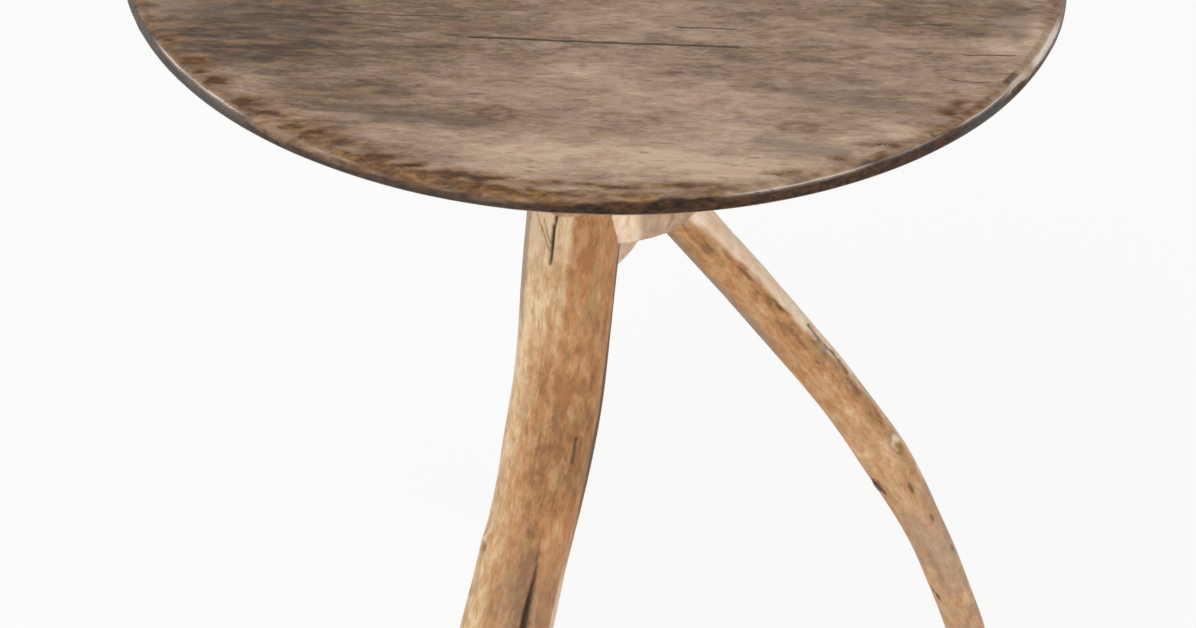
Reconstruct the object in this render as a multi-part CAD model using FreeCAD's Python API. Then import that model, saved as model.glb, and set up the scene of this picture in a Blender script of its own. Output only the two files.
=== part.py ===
import FreeCAD, Part
import math
import os

# Rustic round table of peeled hickory.
# Three boards make the round top. Two cleats and a square block are screwed under it.
# A short natural trunk, the trunk hub, is tenoned and wedged into the block.
# Three crooked poles are housed in the hub's underside, tenoned and pegged, and stand as a tripod.
# Millimetres, +Z up. The origin is on the floor, in the middle of the table's footprint.

Vector = FreeCAD.Vector

# Driving sizes of the whole table
TABLE_HEIGHT = 635.0
TOP_DIAMETER = 610.0
# The top's centre lies this far left of the origin, because the right foot reaches past the rim
TOP_SHIFT = 7.7

# Round top of three boards, grain along X
TOP_THICKNESS = 20.0
# The worn upper arris, as two slopes: how far in and how far down each one starts
RIM_WEAR_WIDTH = 6.5
RIM_WEAR_DEPTH = 1.6
RIM_EDGE_WIDTH = 2.0
RIM_EDGE_DEPTH = 6.5
RIM_BEVEL_WIDTH = 24.0
RIM_BEVEL_HEIGHT = 9.5
FRONT_JOINT_Y = -126.0
REAR_JOINT_Y = 108.0

# Dowels that register the boards, three to a joint
DOWEL_DIAMETER = 10.0
DOWEL_LENGTH = 50.0
DOWEL_CHAMFER = 1.0
DOWEL_CLEARANCE = 0.1
DOWEL_END_CLEARANCE = 1.0
DOWEL_PLACE_SHARES = (-0.62, 0.0, 0.62)

# Two cleats across the boards
CLEAT_LENGTH = 430.0
CLEAT_WIDTH = 45.0
CLEAT_THICKNESS = 20.0
CLEAT_SPACING = 260.0
CLEAT_TAPER_LENGTH = 46.0
CLEAT_TIP_THICKNESS = 9.0
CLEAT_ARRIS = 2.5
# Screws along a cleat, as shares of its half length from the middle
CLEAT_SCREW_SHARES = (-0.88, -0.67, -0.40, 0.36, 0.62, 0.86)

# Block that carries the hub
BLOCK_SIDE = 150.0
BLOCK_THICKNESS = 34.0
BLOCK_CHAMFER = 8.0
BLOCK_SCREW_SPACING = 110.0

# Slotted wood screws
CLEAT_SCREW_DIAMETER = 5.0
CLEAT_SCREW_HEAD = 9.5
BLOCK_SCREW_DIAMETER = 6.0
BLOCK_SCREW_HEAD = 12.0
SCREW_BITE = 13.0
SCREW_POINT = 5.0
SCREW_TIP = 1.0
SCREW_HEAD_RIM = 0.4
SCREW_HEAD_CLEARANCE = 0.8
SCREW_HOLE_CLEARANCE = 0.1
SCREW_SLOT_WIDTH = 1.2
SCREW_SLOT_DEPTH = 1.4

# Trunk hub, a short trunk that swells where the poles leave it
HUB_LENGTH = 158.0
HUB_GIRTH = 92.0
HUB_LEAN = 14.0
HUB_SET_BACK = 4.0
HUB_TENON_DIAMETER = 40.0
HUB_TENON_CLEARANCE = 0.15
HUB_TENON_GAP = 1.0
HUB_TENON_ARRIS = 1.5
WEDGE_LENGTH = 28.0
WEDGE_THICK_END = 4.0
WEDGE_THIN_END = 1.5
WEDGE_CLEARANCE = 0.1
# How far each swelling stands out from the trunk's girth, and the way it faces
FRONT_SWELL = 32.0
FRONT_SWELL_AZIMUTH = -124.0
RIGHT_SWELL = 26.0
RIGHT_SWELL_AZIMUTH = -4.0
REAR_SWELL = 6.0
REAR_SWELL_AZIMUTH = 100.0
SWELL_SPREAD = 34.0
# Height above the hub's bottom, girth, and the three swellings, each as a share of its own size
HUB_SHARES = (
    (0.000, 0.90, 0.00, 0.50, 0.50),
    (0.125, 1.00, 0.10, 1.00, 1.00),
    (0.250, 1.00, 0.86, 0.74, 0.80),
    (0.375, 0.98, 1.00, 0.38, 0.45),
    (0.500, 0.96, 0.74, 0.16, 0.22),
    (0.625, 0.95, 0.42, 0.06, 0.10),
    (0.750, 0.96, 0.18, 0.02, 0.04),
    (0.875, 0.98, 0.07, 0.00, 0.00),
    (1.000, 1.02, 0.02, 0.00, 0.00),
)

# Poles: where the root's shoulder stands from the top's centre and above the hub's bottom,
# how far from there and which way the foot reaches, how thick the pole is,
# and how far its crooks wander to the side
FRONT_ROOT_X = -6.9
FRONT_ROOT_Y = -21.8
FRONT_ROOT_RISE = 41.0
FRONT_REACH = 184.0
FRONT_AZIMUTH = -113.0
FRONT_GIRTH = 63.5
FRONT_CROOK = 3.0
FRONT_TENON_DIAMETER = 34.0
FRONT_TENON_LENGTH = 42.0

RIGHT_ROOT_X = 57.0
RIGHT_ROOT_Y = -1.9
RIGHT_ROOT_RISE = 13.0
RIGHT_REACH = 250.4
RIGHT_AZIMUTH = -3.0
RIGHT_GIRTH = 32.5
RIGHT_CROOK = 2.0
RIGHT_TENON_DIAMETER = 20.0
RIGHT_TENON_LENGTH = 20.0

REAR_ROOT_X = 22.0
REAR_ROOT_Y = 24.0
REAR_ROOT_RISE = 9.0
REAR_REACH = 189.3
REAR_AZIMUTH = 106.0
REAR_GIRTH = 38.0
REAR_CROOK = 16.0
REAR_TENON_DIAMETER = 20.0
REAR_TENON_LENGTH = 36.0

# Routes of the poles, from the root down past the floor:
# height, reach, crook to the side and girth, each as a share of the pole's own size
FRONT_SHARES = (
    (1.000, 0.000, 0.0, 1.03),
    (0.914, 0.024, 0.0, 1.02),
    (0.828, 0.060, 0.1, 1.00),
    (0.742, 0.092, 0.2, 1.00),
    (0.657, 0.136, 0.3, 1.00),
    (0.571, 0.214, 0.3, 0.99),
    (0.485, 0.310, 0.3, 0.96),
    (0.399, 0.459, 0.2, 0.95),
    (0.313, 0.585, 0.3, 1.00),
    (0.227, 0.706, 0.6, 1.00),
    (0.142, 0.821, 0.8, 0.98),
    (0.056, 0.929, 0.8, 1.00),
    (-0.030, 1.028, 0.4, 1.06),
)
RIGHT_SHARES = (
    (1.000, 0.000, 0.0, 1.00),
    (0.917, 0.125, 0.2, 1.00),
    (0.841, 0.235, 0.6, 1.00),
    (0.765, 0.340, 1.0, 1.02),
    (0.689, 0.449, 0.6, 0.99),
    (0.610, 0.551, 0.0, 0.97),
    (0.531, 0.644, -0.6, 1.07),
    (0.446, 0.726, -0.8, 0.86),
    (0.358, 0.800, 0.0, 0.82),
    (0.267, 0.861, 0.8, 0.82),
    (0.177, 0.922, 0.8, 0.82),
    (0.081, 0.968, 0.2, 0.85),
    (-0.032, 1.003, 0.0, 0.90),
)
REAR_SHARES = (
    (1.000, 0.000, 0.00, 1.06),
    (0.894, 0.056, 0.06, 1.05),
    (0.828, 0.153, 0.88, 1.03),
    (0.751, 0.263, 1.33, 1.00),
    (0.669, 0.375, 1.39, 0.98),
    (0.581, 0.481, 1.32, 0.98),
    (0.491, 0.592, 1.22, 0.97),
    (0.400, 0.698, 1.10, 0.94),
    (0.310, 0.793, 0.94, 0.92),
    (0.220, 0.877, 0.78, 0.90),
    (0.132, 0.941, 0.63, 0.90),
    (0.046, 0.988, 0.50, 0.91),
    (-0.039, 1.031, 0.44, 0.95),
)
# Crease down the front pole, where two stems grew together, at each row of its route:
# where it lies round the pole in degrees, and its depth as a share of the radius
FRONT_CREASE = (
    (69, 0.00), (71, 0.00), (73, 0.00), (74, 0.00), (71, 0.01), (67, 0.03), (59, 0.06),
    (50, 0.10), (47, 0.14), (45, 0.17), (43, 0.18), (42, 0.18), (40, 0.18),
)
CREASE_HALF_TURN = 8.0
# Flutes of a pole's round: how many, how deep as a share of the radius, and where in degrees
FRONT_FLUTE_SHARES = ((2, 0.030, 20.0), (3, 0.035, 65.0))
RIGHT_FLUTE_SHARES = ((2, 0.045, 70.0), (3, 0.018, 10.0))
REAR_FLUTE_SHARES = ((2, 0.040, 30.0), (3, 0.020, 80.0))

# Joints of the poles
HOUSING_CLEARANCE = 0.15
TENON_CLEARANCE = 0.15
TENON_GAP = 0.5
TENON_ARRIS = 1.0
PEG_DIAMETER = 8.0
PEG_CLEARANCE = 0.1
PEG_CROWN = 1.0
PEG_PROUD = 2.0
FRONT_PEG_AZIMUTH = -124.0
RIGHT_PEG_AZIMUTH = 90.0
REAR_PEG_AZIMUTH = 112.0
# Where the peg crosses its tenon, and how far past the tenon's middle it runs
PEG_TENON_SHARE = 0.5
PEG_PAST_SHARE = 0.2

# How far cutting bodies run past what they cut
OVERRUN = 5.0

# How many flats go round each kind of piece, as a drawknife leaves them
POLE_FLAT_COUNT = 20
HUB_FLAT_COUNT = 24
TENON_FLAT_COUNT = 16
PEG_FLAT_COUNT = 12
SCREW_FLAT_COUNT = 10

FULL_TURN = 360.0
UP = Vector(0, 0, 1)

# Heights and places that follow from the sizes above
TOP_X = -TOP_SHIFT
TOP_RADIUS = TOP_DIAMETER / 2
TOP_UNDERSIDE = TABLE_HEIGHT - TOP_THICKNESS
BLOCK_UNDERSIDE = TOP_UNDERSIDE - BLOCK_THICKNESS
CLEAT_UNDERSIDE = TOP_UNDERSIDE - CLEAT_THICKNESS
HUB_BOTTOM_HEIGHT = BLOCK_UNDERSIDE - HUB_LENGTH
HUB_TOP = Vector(TOP_X, 0, BLOCK_UNDERSIDE)
HUB_BOTTOM = Vector(TOP_X + HUB_LEAN, HUB_SET_BACK, HUB_BOTTOM_HEIGHT)


def direction(azimuth):
    """Level unit vector that faces the azimuth, in degrees from +X."""
    angle = math.radians(azimuth)
    return Vector(math.cos(angle), math.sin(angle), 0)


def unit(vector):
    """The vector at length one."""
    return vector / vector.Length


def outline(corners):
    """Closed outline of straight edges."""
    return Part.makePolygon(corners + [corners[0]])


def flat_sided(middle, heading, diameter, flats):
    """Corners of an even-sided outline square to a heading, as far across as the diameter."""
    aside = UP.cross(heading)
    if aside.Length < UP.Length / 2:
        aside = Vector(0, 1, 0).cross(heading)
    across = unit(aside)
    over = heading.cross(across)
    corners = []
    for step in range(flats):
        angle = math.radians(FULL_TURN * (2 * step + 1) / (2 * flats))
        corners.append(middle + (across * math.cos(angle) + over * math.sin(angle)) * (diameter / 2))
    return corners


def flat_face(corners):
    """Flat face with straight edges."""
    return Part.Face(outline(corners))


def shaved_bar(start, heading, places, flats):
    """Bar of even flats along a heading, through places that each give a distance and a diameter."""
    rings = [flat_sided(start + heading * far, heading, wide, flats) for far, wide in places]
    faces = [flat_face(rings[0]), flat_face(rings[-1])]
    for near, far in zip(rings, rings[1:]):
        for i in range(flats):
            faces.append(flat_face([near[i - 1], near[i], far[i], far[i - 1]]))
    skin = Part.makeShell(faces)
    skin.sewShape()
    bar = Part.makeSolid(skin)
    return bar if bar.Volume > 0 else bar.reversed()


def plain_box(low, high):
    """Box between two corners."""
    size = high - low
    return Part.makeBox(size.x, size.y, size.z, low)


def outline_solid(corners, travel):
    """Solid swept by a flat outline of straight edges."""
    return flat_face(corners).extrude(travel)


# Trunk hub

def swelling(angle, azimuth):
    """How much of a swelling is felt at an angle, from one down to nothing."""
    away = (angle - azimuth + FULL_TURN / 2) % FULL_TURN - FULL_TURN / 2
    return math.exp(-(away / SWELL_SPREAD) ** 2)


def hub_section(height_share, girth_share, front_share, right_share, rear_share):
    """Level outline of the hub with its three swellings."""
    middle = HUB_BOTTOM + (HUB_TOP - HUB_BOTTOM) * height_share
    points = []
    for step in range(HUB_FLAT_COUNT):
        angle = FULL_TURN * step / HUB_FLAT_COUNT
        radius = HUB_GIRTH / 2 * girth_share
        radius += FRONT_SWELL * front_share * swelling(angle, FRONT_SWELL_AZIMUTH)
        radius += RIGHT_SWELL * right_share * swelling(angle, RIGHT_SWELL_AZIMUTH)
        radius += REAR_SWELL * rear_share * swelling(angle, REAR_SWELL_AZIMUTH)
        points.append(middle + direction(angle) * radius)
    return outline(points)


def hub_trunk():
    """Natural trunk, before anything is cut into it."""
    return Part.makeLoft([hub_section(*row) for row in HUB_SHARES], True, True)


def way_out(start, heading):
    """Distance from a point inside the trunk to its surface."""
    line = Part.makeLine(start, start + heading * (HUB_GIRTH + FRONT_SWELL))
    inside = line.common(TRUNK)
    return max((vertex.Point - start).Length for vertex in inside.Vertexes)


TRUNK = hub_trunk()


# Poles

def pole_route(root, reach, azimuth, crook, shares):
    """Middle points of a pole, from its root to past the floor."""
    outward = direction(azimuth)
    sideways = UP.cross(outward)
    points = []
    for height_share, reach_share, crook_share, girth_share in shares:
        place = root + outward * (reach * reach_share) + sideways * (crook * crook_share)
        points.append(Vector(place.x, place.y, root.z * height_share))
    return points


def route_headings(points):
    """Heading of the route at each of its points, downwards."""
    last = len(points) - 1
    return [unit(points[min(i + 1, last)] - points[max(i - 1, 0)]) for i in range(len(points))]


def section_corners(creased):
    """Where a section's corners stand round it, in degrees; the lips of a crease at nought add two."""
    corners = [FULL_TURN * step / POLE_FLAT_COUNT for step in range(POLE_FLAT_COUNT)]
    if creased:
        corners += [CREASE_HALF_TURN, FULL_TURN - CREASE_HALF_TURN]
    return sorted(corners)


def pole_section(middle, heading, sideways, girth, flutes, crease):
    """Outline of a pole square to its heading, with its flutes and its crease."""
    across = unit(sideways - heading * sideways.dot(heading))
    over = heading.cross(across)
    crease_place, crease_depth = crease or (0, 0)
    points = []
    for corner in section_corners(crease is not None):
        angle = math.radians(corner + crease_place)
        swell = 1.0
        for count, depth, place in flutes:
            swell += depth * math.cos(count * (angle - math.radians(place)))
        if corner == 0:
            swell -= crease_depth
        radius = girth / 2 * swell
        points.append(middle + across * (radius * math.cos(angle)) + over * (radius * math.sin(angle)))
    return outline(points)


def sawn_at_floor(body):
    """The body without what lies below the floor."""
    box = body.BoundBox
    low = Vector(box.XMin - OVERRUN, box.YMin - OVERRUN, box.ZMin - OVERRUN)
    high = Vector(box.XMax + OVERRUN, box.YMax + OVERRUN, 0)
    return body.cut(plain_box(low, high))


def tenon_body(start, heading, diameter, length, arris):
    """Tenon shaved nearly round, whose far end has a worn arris."""
    places = ((-OVERRUN, diameter), (length - arris, diameter), (length, diameter - 2 * arris))
    return shaved_bar(start, heading, places, TENON_FLAT_COUNT)


class Pole:
    """One pole of the tripod with its tenon, its housing in the hub and its peg."""

    def __init__(self, root_x, root_y, root_rise, reach, azimuth, girth, crook, shares, flutes,
                 tenon_diameter, tenon_length, peg_azimuth, creases=None):
        root = Vector(TOP_X + root_x, root_y, HUB_BOTTOM_HEIGHT + root_rise)
        self.points = pole_route(root, reach, azimuth, crook, shares)
        self.shares = shares
        self.azimuth = azimuth
        self.girth = girth
        self.flutes = flutes
        self.creases = creases or [None] * len(shares)
        self.shoulder = self.points[0]
        self.inward = route_headings(self.points)[0] * -1
        self.tenon_diameter = tenon_diameter
        self.tenon_length = tenon_length
        self.peg_out = direction(peg_azimuth)
        crossing = self.shoulder + self.inward * (tenon_length * PEG_TENON_SHARE)
        self.peg_start = crossing - self.peg_out * (tenon_diameter * PEG_PAST_SHARE)
        self.peg_length = way_out(self.peg_start, self.peg_out) + PEG_PROUD

    def body(self, allowance):
        """The pole's round lofted through its outlines, grown by an allowance."""
        sideways = UP.cross(direction(self.azimuth))
        sections = []
        for i, heading in enumerate(route_headings(self.points)):
            start = self.points[i] - heading * allowance if i == 0 else self.points[i]
            girth = self.girth * self.shares[i][3] + 2 * allowance
            sections.append(pole_section(start, heading, sideways, girth, self.flutes, self.creases[i]))
        return Part.makeLoft(sections, True, True)

    def peg_hole(self):
        """Hole for the peg, right out of the trunk."""
        diameter = PEG_DIAMETER + 2 * PEG_CLEARANCE
        places = ((-PEG_CLEARANCE, diameter), (self.peg_length + self.girth, diameter))
        return shaved_bar(self.peg_start, self.peg_out, places, PEG_FLAT_COUNT)

    def solid(self):
        """The whole pole: sawn at the floor, with its tenon, bored for its peg."""
        tenon = tenon_body(self.shoulder, self.inward, self.tenon_diameter, self.tenon_length, TENON_ARRIS)
        whole = sawn_at_floor(self.body(0)).fuse(tenon).removeSplitter()
        return whole.cut(self.peg_hole())

    def housing(self):
        """What the hub gives up for the pole: the pocket for its round and the bore for its tenon."""
        diameter = self.tenon_diameter + 2 * TENON_CLEARANCE
        places = ((0, diameter), (self.tenon_length + TENON_GAP, diameter))
        return self.body(HOUSING_CLEARANCE), shaved_bar(self.shoulder, self.inward, places, TENON_FLAT_COUNT)

    def peg(self):
        """Peg through the tenon, its outer end crowned."""
        places = ((0, PEG_DIAMETER), (self.peg_length - PEG_CROWN, PEG_DIAMETER),
                  (self.peg_length, PEG_DIAMETER - 2 * PEG_CROWN))
        return shaved_bar(self.peg_start, self.peg_out, places, PEG_FLAT_COUNT)


front_pole = Pole(FRONT_ROOT_X, FRONT_ROOT_Y, FRONT_ROOT_RISE, FRONT_REACH, FRONT_AZIMUTH,
                  FRONT_GIRTH, FRONT_CROOK, FRONT_SHARES, FRONT_FLUTE_SHARES,
                  FRONT_TENON_DIAMETER, FRONT_TENON_LENGTH, FRONT_PEG_AZIMUTH, FRONT_CREASE)
right_pole = Pole(RIGHT_ROOT_X, RIGHT_ROOT_Y, RIGHT_ROOT_RISE, RIGHT_REACH, RIGHT_AZIMUTH,
                  RIGHT_GIRTH, RIGHT_CROOK, RIGHT_SHARES, RIGHT_FLUTE_SHARES,
                  RIGHT_TENON_DIAMETER, RIGHT_TENON_LENGTH, RIGHT_PEG_AZIMUTH)
rear_pole = Pole(REAR_ROOT_X, REAR_ROOT_Y, REAR_ROOT_RISE, REAR_REACH, REAR_AZIMUTH,
                 REAR_GIRTH, REAR_CROOK, REAR_SHARES, REAR_FLUTE_SHARES,
                 REAR_TENON_DIAMETER, REAR_TENON_LENGTH, REAR_PEG_AZIMUTH)
POLES = {"leg_front": front_pole, "leg_right": right_pole, "leg_rear": rear_pole}


# Joints of the hub

def hub_tenon():
    """Round tenon on top of the hub, which the block takes."""
    length = BLOCK_THICKNESS - HUB_TENON_GAP
    return tenon_body(HUB_TOP, UP, HUB_TENON_DIAMETER, length, HUB_TENON_ARRIS)


def wedge_body(allowance, half_run):
    """The wedge, grown on its faces by an allowance, as far as a half run each way."""
    top = HUB_TOP.z + BLOCK_THICKNESS - HUB_TENON_GAP
    foot = top - WEDGE_LENGTH
    thick = WEDGE_THICK_END / 2 + allowance
    thin = WEDGE_THIN_END / 2 + allowance
    y = HUB_TOP.y - half_run
    corners = [Vector(HUB_TOP.x - thin, y, foot), Vector(HUB_TOP.x + thin, y, foot),
               Vector(HUB_TOP.x + thick, y, top), Vector(HUB_TOP.x - thick, y, top)]
    return outline_solid(corners, Vector(0, 2 * half_run, 0))


def tenon_wedge():
    """Wedge, a little shorter than the hub's tenon is wide."""
    return wedge_body(0, HUB_TENON_DIAMETER / 2 - HUB_TENON_ARRIS)


def kerf():
    """Sawn slot for the wedge, right across the hub's tenon."""
    return wedge_body(WEDGE_CLEARANCE, HUB_TENON_DIAMETER / 2 + OVERRUN)


def trunk_hub():
    """Trunk with its tenon and kerf, its three housings, tenon bores and peg holes."""
    trunk = TRUNK.fuse(hub_tenon()).removeSplitter().cut(kerf())
    for pole in POLES.values():
        pocket, bore = pole.housing()
        trunk = trunk.cut(pocket).cut(bore).cut(pole.peg_hole())
    return trunk


# Screws

def screw_body(tip, diameter, head_diameter, length, allowance, past):
    """Round of a countersunk wood screw driven upwards to its tip, grown by an allowance."""
    shank = diameter + 2 * allowance
    head = head_diameter + 2 * allowance
    neck = length - (head_diameter - diameter) / 2
    places = ((-allowance, SCREW_TIP + 2 * allowance), (SCREW_POINT, shank), (neck, shank),
              (length, head), (length + past, head))
    return shaved_bar(tip, UP * -1, places, SCREW_FLAT_COUNT)


def screw(tip, diameter, head_diameter, length):
    """Countersunk wood screw with a slot across its head."""
    body = screw_body(tip, diameter, head_diameter, length, 0, SCREW_HEAD_RIM)
    foot = tip - UP * (length + SCREW_HEAD_RIM)
    half = Vector(head_diameter / 2 + OVERRUN, SCREW_SLOT_WIDTH / 2, OVERRUN)
    return body.cut(plain_box(foot - half, foot + Vector(half.x, half.y, SCREW_SLOT_DEPTH)))


def screw_hole(tip, diameter, head_diameter, length):
    """Hole for a screw driven from below, with its countersink."""
    return screw_body(tip, diameter, head_diameter, length, SCREW_HOLE_CLEARANCE, OVERRUN)


def cleat_screw_length(y):
    """Length of a cleat's screw, whose head is sunk in the underside, at the tapered ends too."""
    return SCREW_BITE + cleat_thickness_at(abs(y) + CLEAT_SCREW_HEAD / 2) - SCREW_HEAD_CLEARANCE


def cleat_thickness_at(y):
    """Thickness of a cleat at a place along it."""
    past = abs(y) - (CLEAT_LENGTH / 2 - CLEAT_TAPER_LENGTH)
    if past <= 0:
        return CLEAT_THICKNESS
    return CLEAT_THICKNESS - (CLEAT_THICKNESS - CLEAT_TIP_THICKNESS) * past / CLEAT_TAPER_LENGTH


CLEAT_SCREW_YS = [CLEAT_LENGTH / 2 * share for share in CLEAT_SCREW_SHARES]
BLOCK_SCREW_PLACES = [Vector(TOP_X + sx * BLOCK_SCREW_SPACING / 2, sy * BLOCK_SCREW_SPACING / 2, 0)
                      for sx in (-1, 1) for sy in (-1, 1)]
SCREW_TIP_HEIGHT = TOP_UNDERSIDE + SCREW_BITE
BLOCK_SCREW_LENGTH = SCREW_BITE + BLOCK_THICKNESS - SCREW_HEAD_CLEARANCE


def cleat_screws(x, make):
    """One screw, or its hole, at each screw place of the cleat at x."""
    return [make(Vector(x, y, SCREW_TIP_HEIGHT), cleat_screw_length(y)) for y in CLEAT_SCREW_YS]


def cleat_screw(tip, length):
    """Screw of a cleat."""
    return screw(tip, CLEAT_SCREW_DIAMETER, CLEAT_SCREW_HEAD, length)


def cleat_screw_hole(tip, length):
    """Hole for a screw of a cleat."""
    return screw_hole(tip, CLEAT_SCREW_DIAMETER, CLEAT_SCREW_HEAD, length)


def block_screw_tips():
    """Tips of the screws through the block."""
    return [place + UP * SCREW_TIP_HEIGHT for place in BLOCK_SCREW_PLACES]


# Top

def dowel_places(joint_y):
    """Middle points of the dowels along one joint between boards."""
    half_chord = math.sqrt(TOP_RADIUS ** 2 - joint_y ** 2)
    z = TABLE_HEIGHT - TOP_THICKNESS / 2
    return [Vector(TOP_X + half_chord * share, joint_y, z) for share in DOWEL_PLACE_SHARES]


def dowel(place):
    """Chamfered dowel across a joint."""
    half = DOWEL_LENGTH / 2
    narrow = DOWEL_DIAMETER - 2 * DOWEL_CHAMFER
    places = ((-half, narrow), (DOWEL_CHAMFER - half, DOWEL_DIAMETER),
              (half - DOWEL_CHAMFER, DOWEL_DIAMETER), (half, narrow))
    return shaved_bar(place, Vector(0, 1, 0), places, PEG_FLAT_COUNT)


def dowel_hole(place):
    """Hole for a dowel, in both boards at once."""
    half = DOWEL_LENGTH / 2 + DOWEL_END_CLEARANCE
    diameter = DOWEL_DIAMETER + 2 * DOWEL_CLEARANCE
    return shaved_bar(place, Vector(0, 1, 0), ((-half, diameter), (half, diameter)), PEG_FLAT_COUNT)


def round_top():
    """The whole top before it is parted into boards: a worn upper arris and a bevel below."""
    profile = ((0, TABLE_HEIGHT), (TOP_RADIUS - RIM_WEAR_WIDTH, TABLE_HEIGHT),
               (TOP_RADIUS - RIM_EDGE_WIDTH, TABLE_HEIGHT - RIM_WEAR_DEPTH),
               (TOP_RADIUS, TABLE_HEIGHT - RIM_EDGE_DEPTH), (TOP_RADIUS, TOP_UNDERSIDE + RIM_BEVEL_HEIGHT),
               (TOP_RADIUS - RIM_BEVEL_WIDTH, TOP_UNDERSIDE), (0, TOP_UNDERSIDE))
    corners = [Vector(TOP_X + out, 0, height) for out, height in profile]
    return flat_face(corners).revolve(Vector(TOP_X, 0, 0), UP, FULL_TURN)


def board(top, low_y, high_y):
    """The part of the top between two joints, with its dowel and screw holes."""
    low = Vector(TOP_X - TOP_RADIUS - OVERRUN, low_y, TOP_UNDERSIDE - OVERRUN)
    high = Vector(TOP_X + TOP_RADIUS + OVERRUN, high_y, TABLE_HEIGHT + OVERRUN)
    piece = top.common(plain_box(low, high))
    for joint_y in (FRONT_JOINT_Y, REAR_JOINT_Y):
        for place in dowel_places(joint_y):
            piece = piece.cut(dowel_hole(place))
    for x in CLEAT_XS:
        for hole in cleat_screws(x, cleat_screw_hole):
            piece = piece.cut(hole)
    for tip in block_screw_tips():
        piece = piece.cut(screw_hole(tip, BLOCK_SCREW_DIAMETER, BLOCK_SCREW_HEAD, BLOCK_SCREW_LENGTH))
    return piece


# Cleats and block

CLEAT_XS = (TOP_X - CLEAT_SPACING / 2, TOP_X + CLEAT_SPACING / 2)


def cleat(x):
    """Cleat with tapered ends and softened lower edges, drilled for its screws."""
    half = CLEAT_LENGTH / 2
    full = half - CLEAT_TAPER_LENGTH
    low = CLEAT_UNDERSIDE
    tip = TOP_UNDERSIDE - CLEAT_TIP_THICKNESS
    left = x - CLEAT_WIDTH / 2
    corners = [Vector(left, -half, TOP_UNDERSIDE), Vector(left, -half, tip), Vector(left, -full, low),
               Vector(left, full, low), Vector(left, half, tip), Vector(left, half, TOP_UNDERSIDE)]
    body = outline_solid(corners, Vector(CLEAT_WIDTH, 0, 0))
    long_edges = [e for e in body.Edges
                  if abs(e.CenterOfMass.z - low) < CLEAT_ARRIS and e.Length > CLEAT_LENGTH / 2]
    body = body.makeChamfer(CLEAT_ARRIS, long_edges)
    for hole in cleat_screws(x, cleat_screw_hole):
        body = body.cut(hole)
    return body


def mounting_block():
    """Square block with chamfered lower edges, bored for the hub's tenon and drilled for its screws."""
    half = BLOCK_SIDE / 2
    body = plain_box(Vector(TOP_X - half, -half, BLOCK_UNDERSIDE), Vector(TOP_X + half, half, TOP_UNDERSIDE))
    lower = [e for e in body.Edges if abs(e.CenterOfMass.z - BLOCK_UNDERSIDE) < BLOCK_CHAMFER / 2]
    body = body.makeChamfer(BLOCK_CHAMFER, lower)
    bore = HUB_TENON_DIAMETER + 2 * HUB_TENON_CLEARANCE
    places = ((-OVERRUN, bore), (BLOCK_THICKNESS + OVERRUN, bore))
    body = body.cut(shaved_bar(HUB_TOP, UP, places, TENON_FLAT_COUNT))
    for tip in block_screw_tips():
        body = body.cut(screw_hole(tip, BLOCK_SCREW_DIAMETER, BLOCK_SCREW_HEAD, BLOCK_SCREW_LENGTH))
    return body


# The whole table, one node to a file

def build():
    """Shape of every node by its name."""
    top = round_top()
    nodes = {
        "board_front": board(top, -TOP_RADIUS - OVERRUN, FRONT_JOINT_Y),
        "board_middle": board(top, FRONT_JOINT_Y, REAR_JOINT_Y),
        "board_rear": board(top, REAR_JOINT_Y, TOP_RADIUS + OVERRUN),
        "dowels_front": Part.makeCompound([dowel(p) for p in dowel_places(FRONT_JOINT_Y)]),
        "dowels_rear": Part.makeCompound([dowel(p) for p in dowel_places(REAR_JOINT_Y)]),
        "mounting_block": mounting_block(),
        "trunk_hub": trunk_hub(),
        "tenon_wedge": tenon_wedge(),
    }
    for name, x in zip(("left", "right"), CLEAT_XS):
        nodes["cleat_" + name] = cleat(x)
        nodes["cleat_screws_" + name] = Part.makeCompound(cleat_screws(x, cleat_screw))
    block_screws = [screw(tip, BLOCK_SCREW_DIAMETER, BLOCK_SCREW_HEAD, BLOCK_SCREW_LENGTH)
                    for tip in block_screw_tips()]
    nodes["block_screws"] = Part.makeCompound(block_screws)
    for name, pole in POLES.items():
        nodes[name] = pole.solid()
        nodes[name.replace("leg", "peg")] = pole.peg()
    return nodes


os.makedirs("parts", exist_ok=True)
for name, shape in build().items():
    shape.exportStep(os.path.join("parts", name + ".step"))
    box = shape.optimalBoundingBox()
    print(name, "solids", len(shape.Solids), "volume", round(shape.Volume, 1), "valid", shape.isValid(),
          "x", round(box.XMin, 1), round(box.XMax, 1), "y", round(box.YMin, 1), round(box.YMax, 1),
          "z", round(box.ZMin, 1), round(box.ZMax, 1))
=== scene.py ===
"""Rustic hickory table: the looks of its boards, poles, trunk hub and hidden joinery.

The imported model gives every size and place. The boards, the poles and the trunk hub are carved
again as fine meshes on the same outlines, because the photograph shows drying cracks, knots,
bark scraps and a worn rim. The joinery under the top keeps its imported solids.
"""
import math

import bmesh
import bpy
import numpy as np
from mathutils import Matrix, Vector


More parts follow.
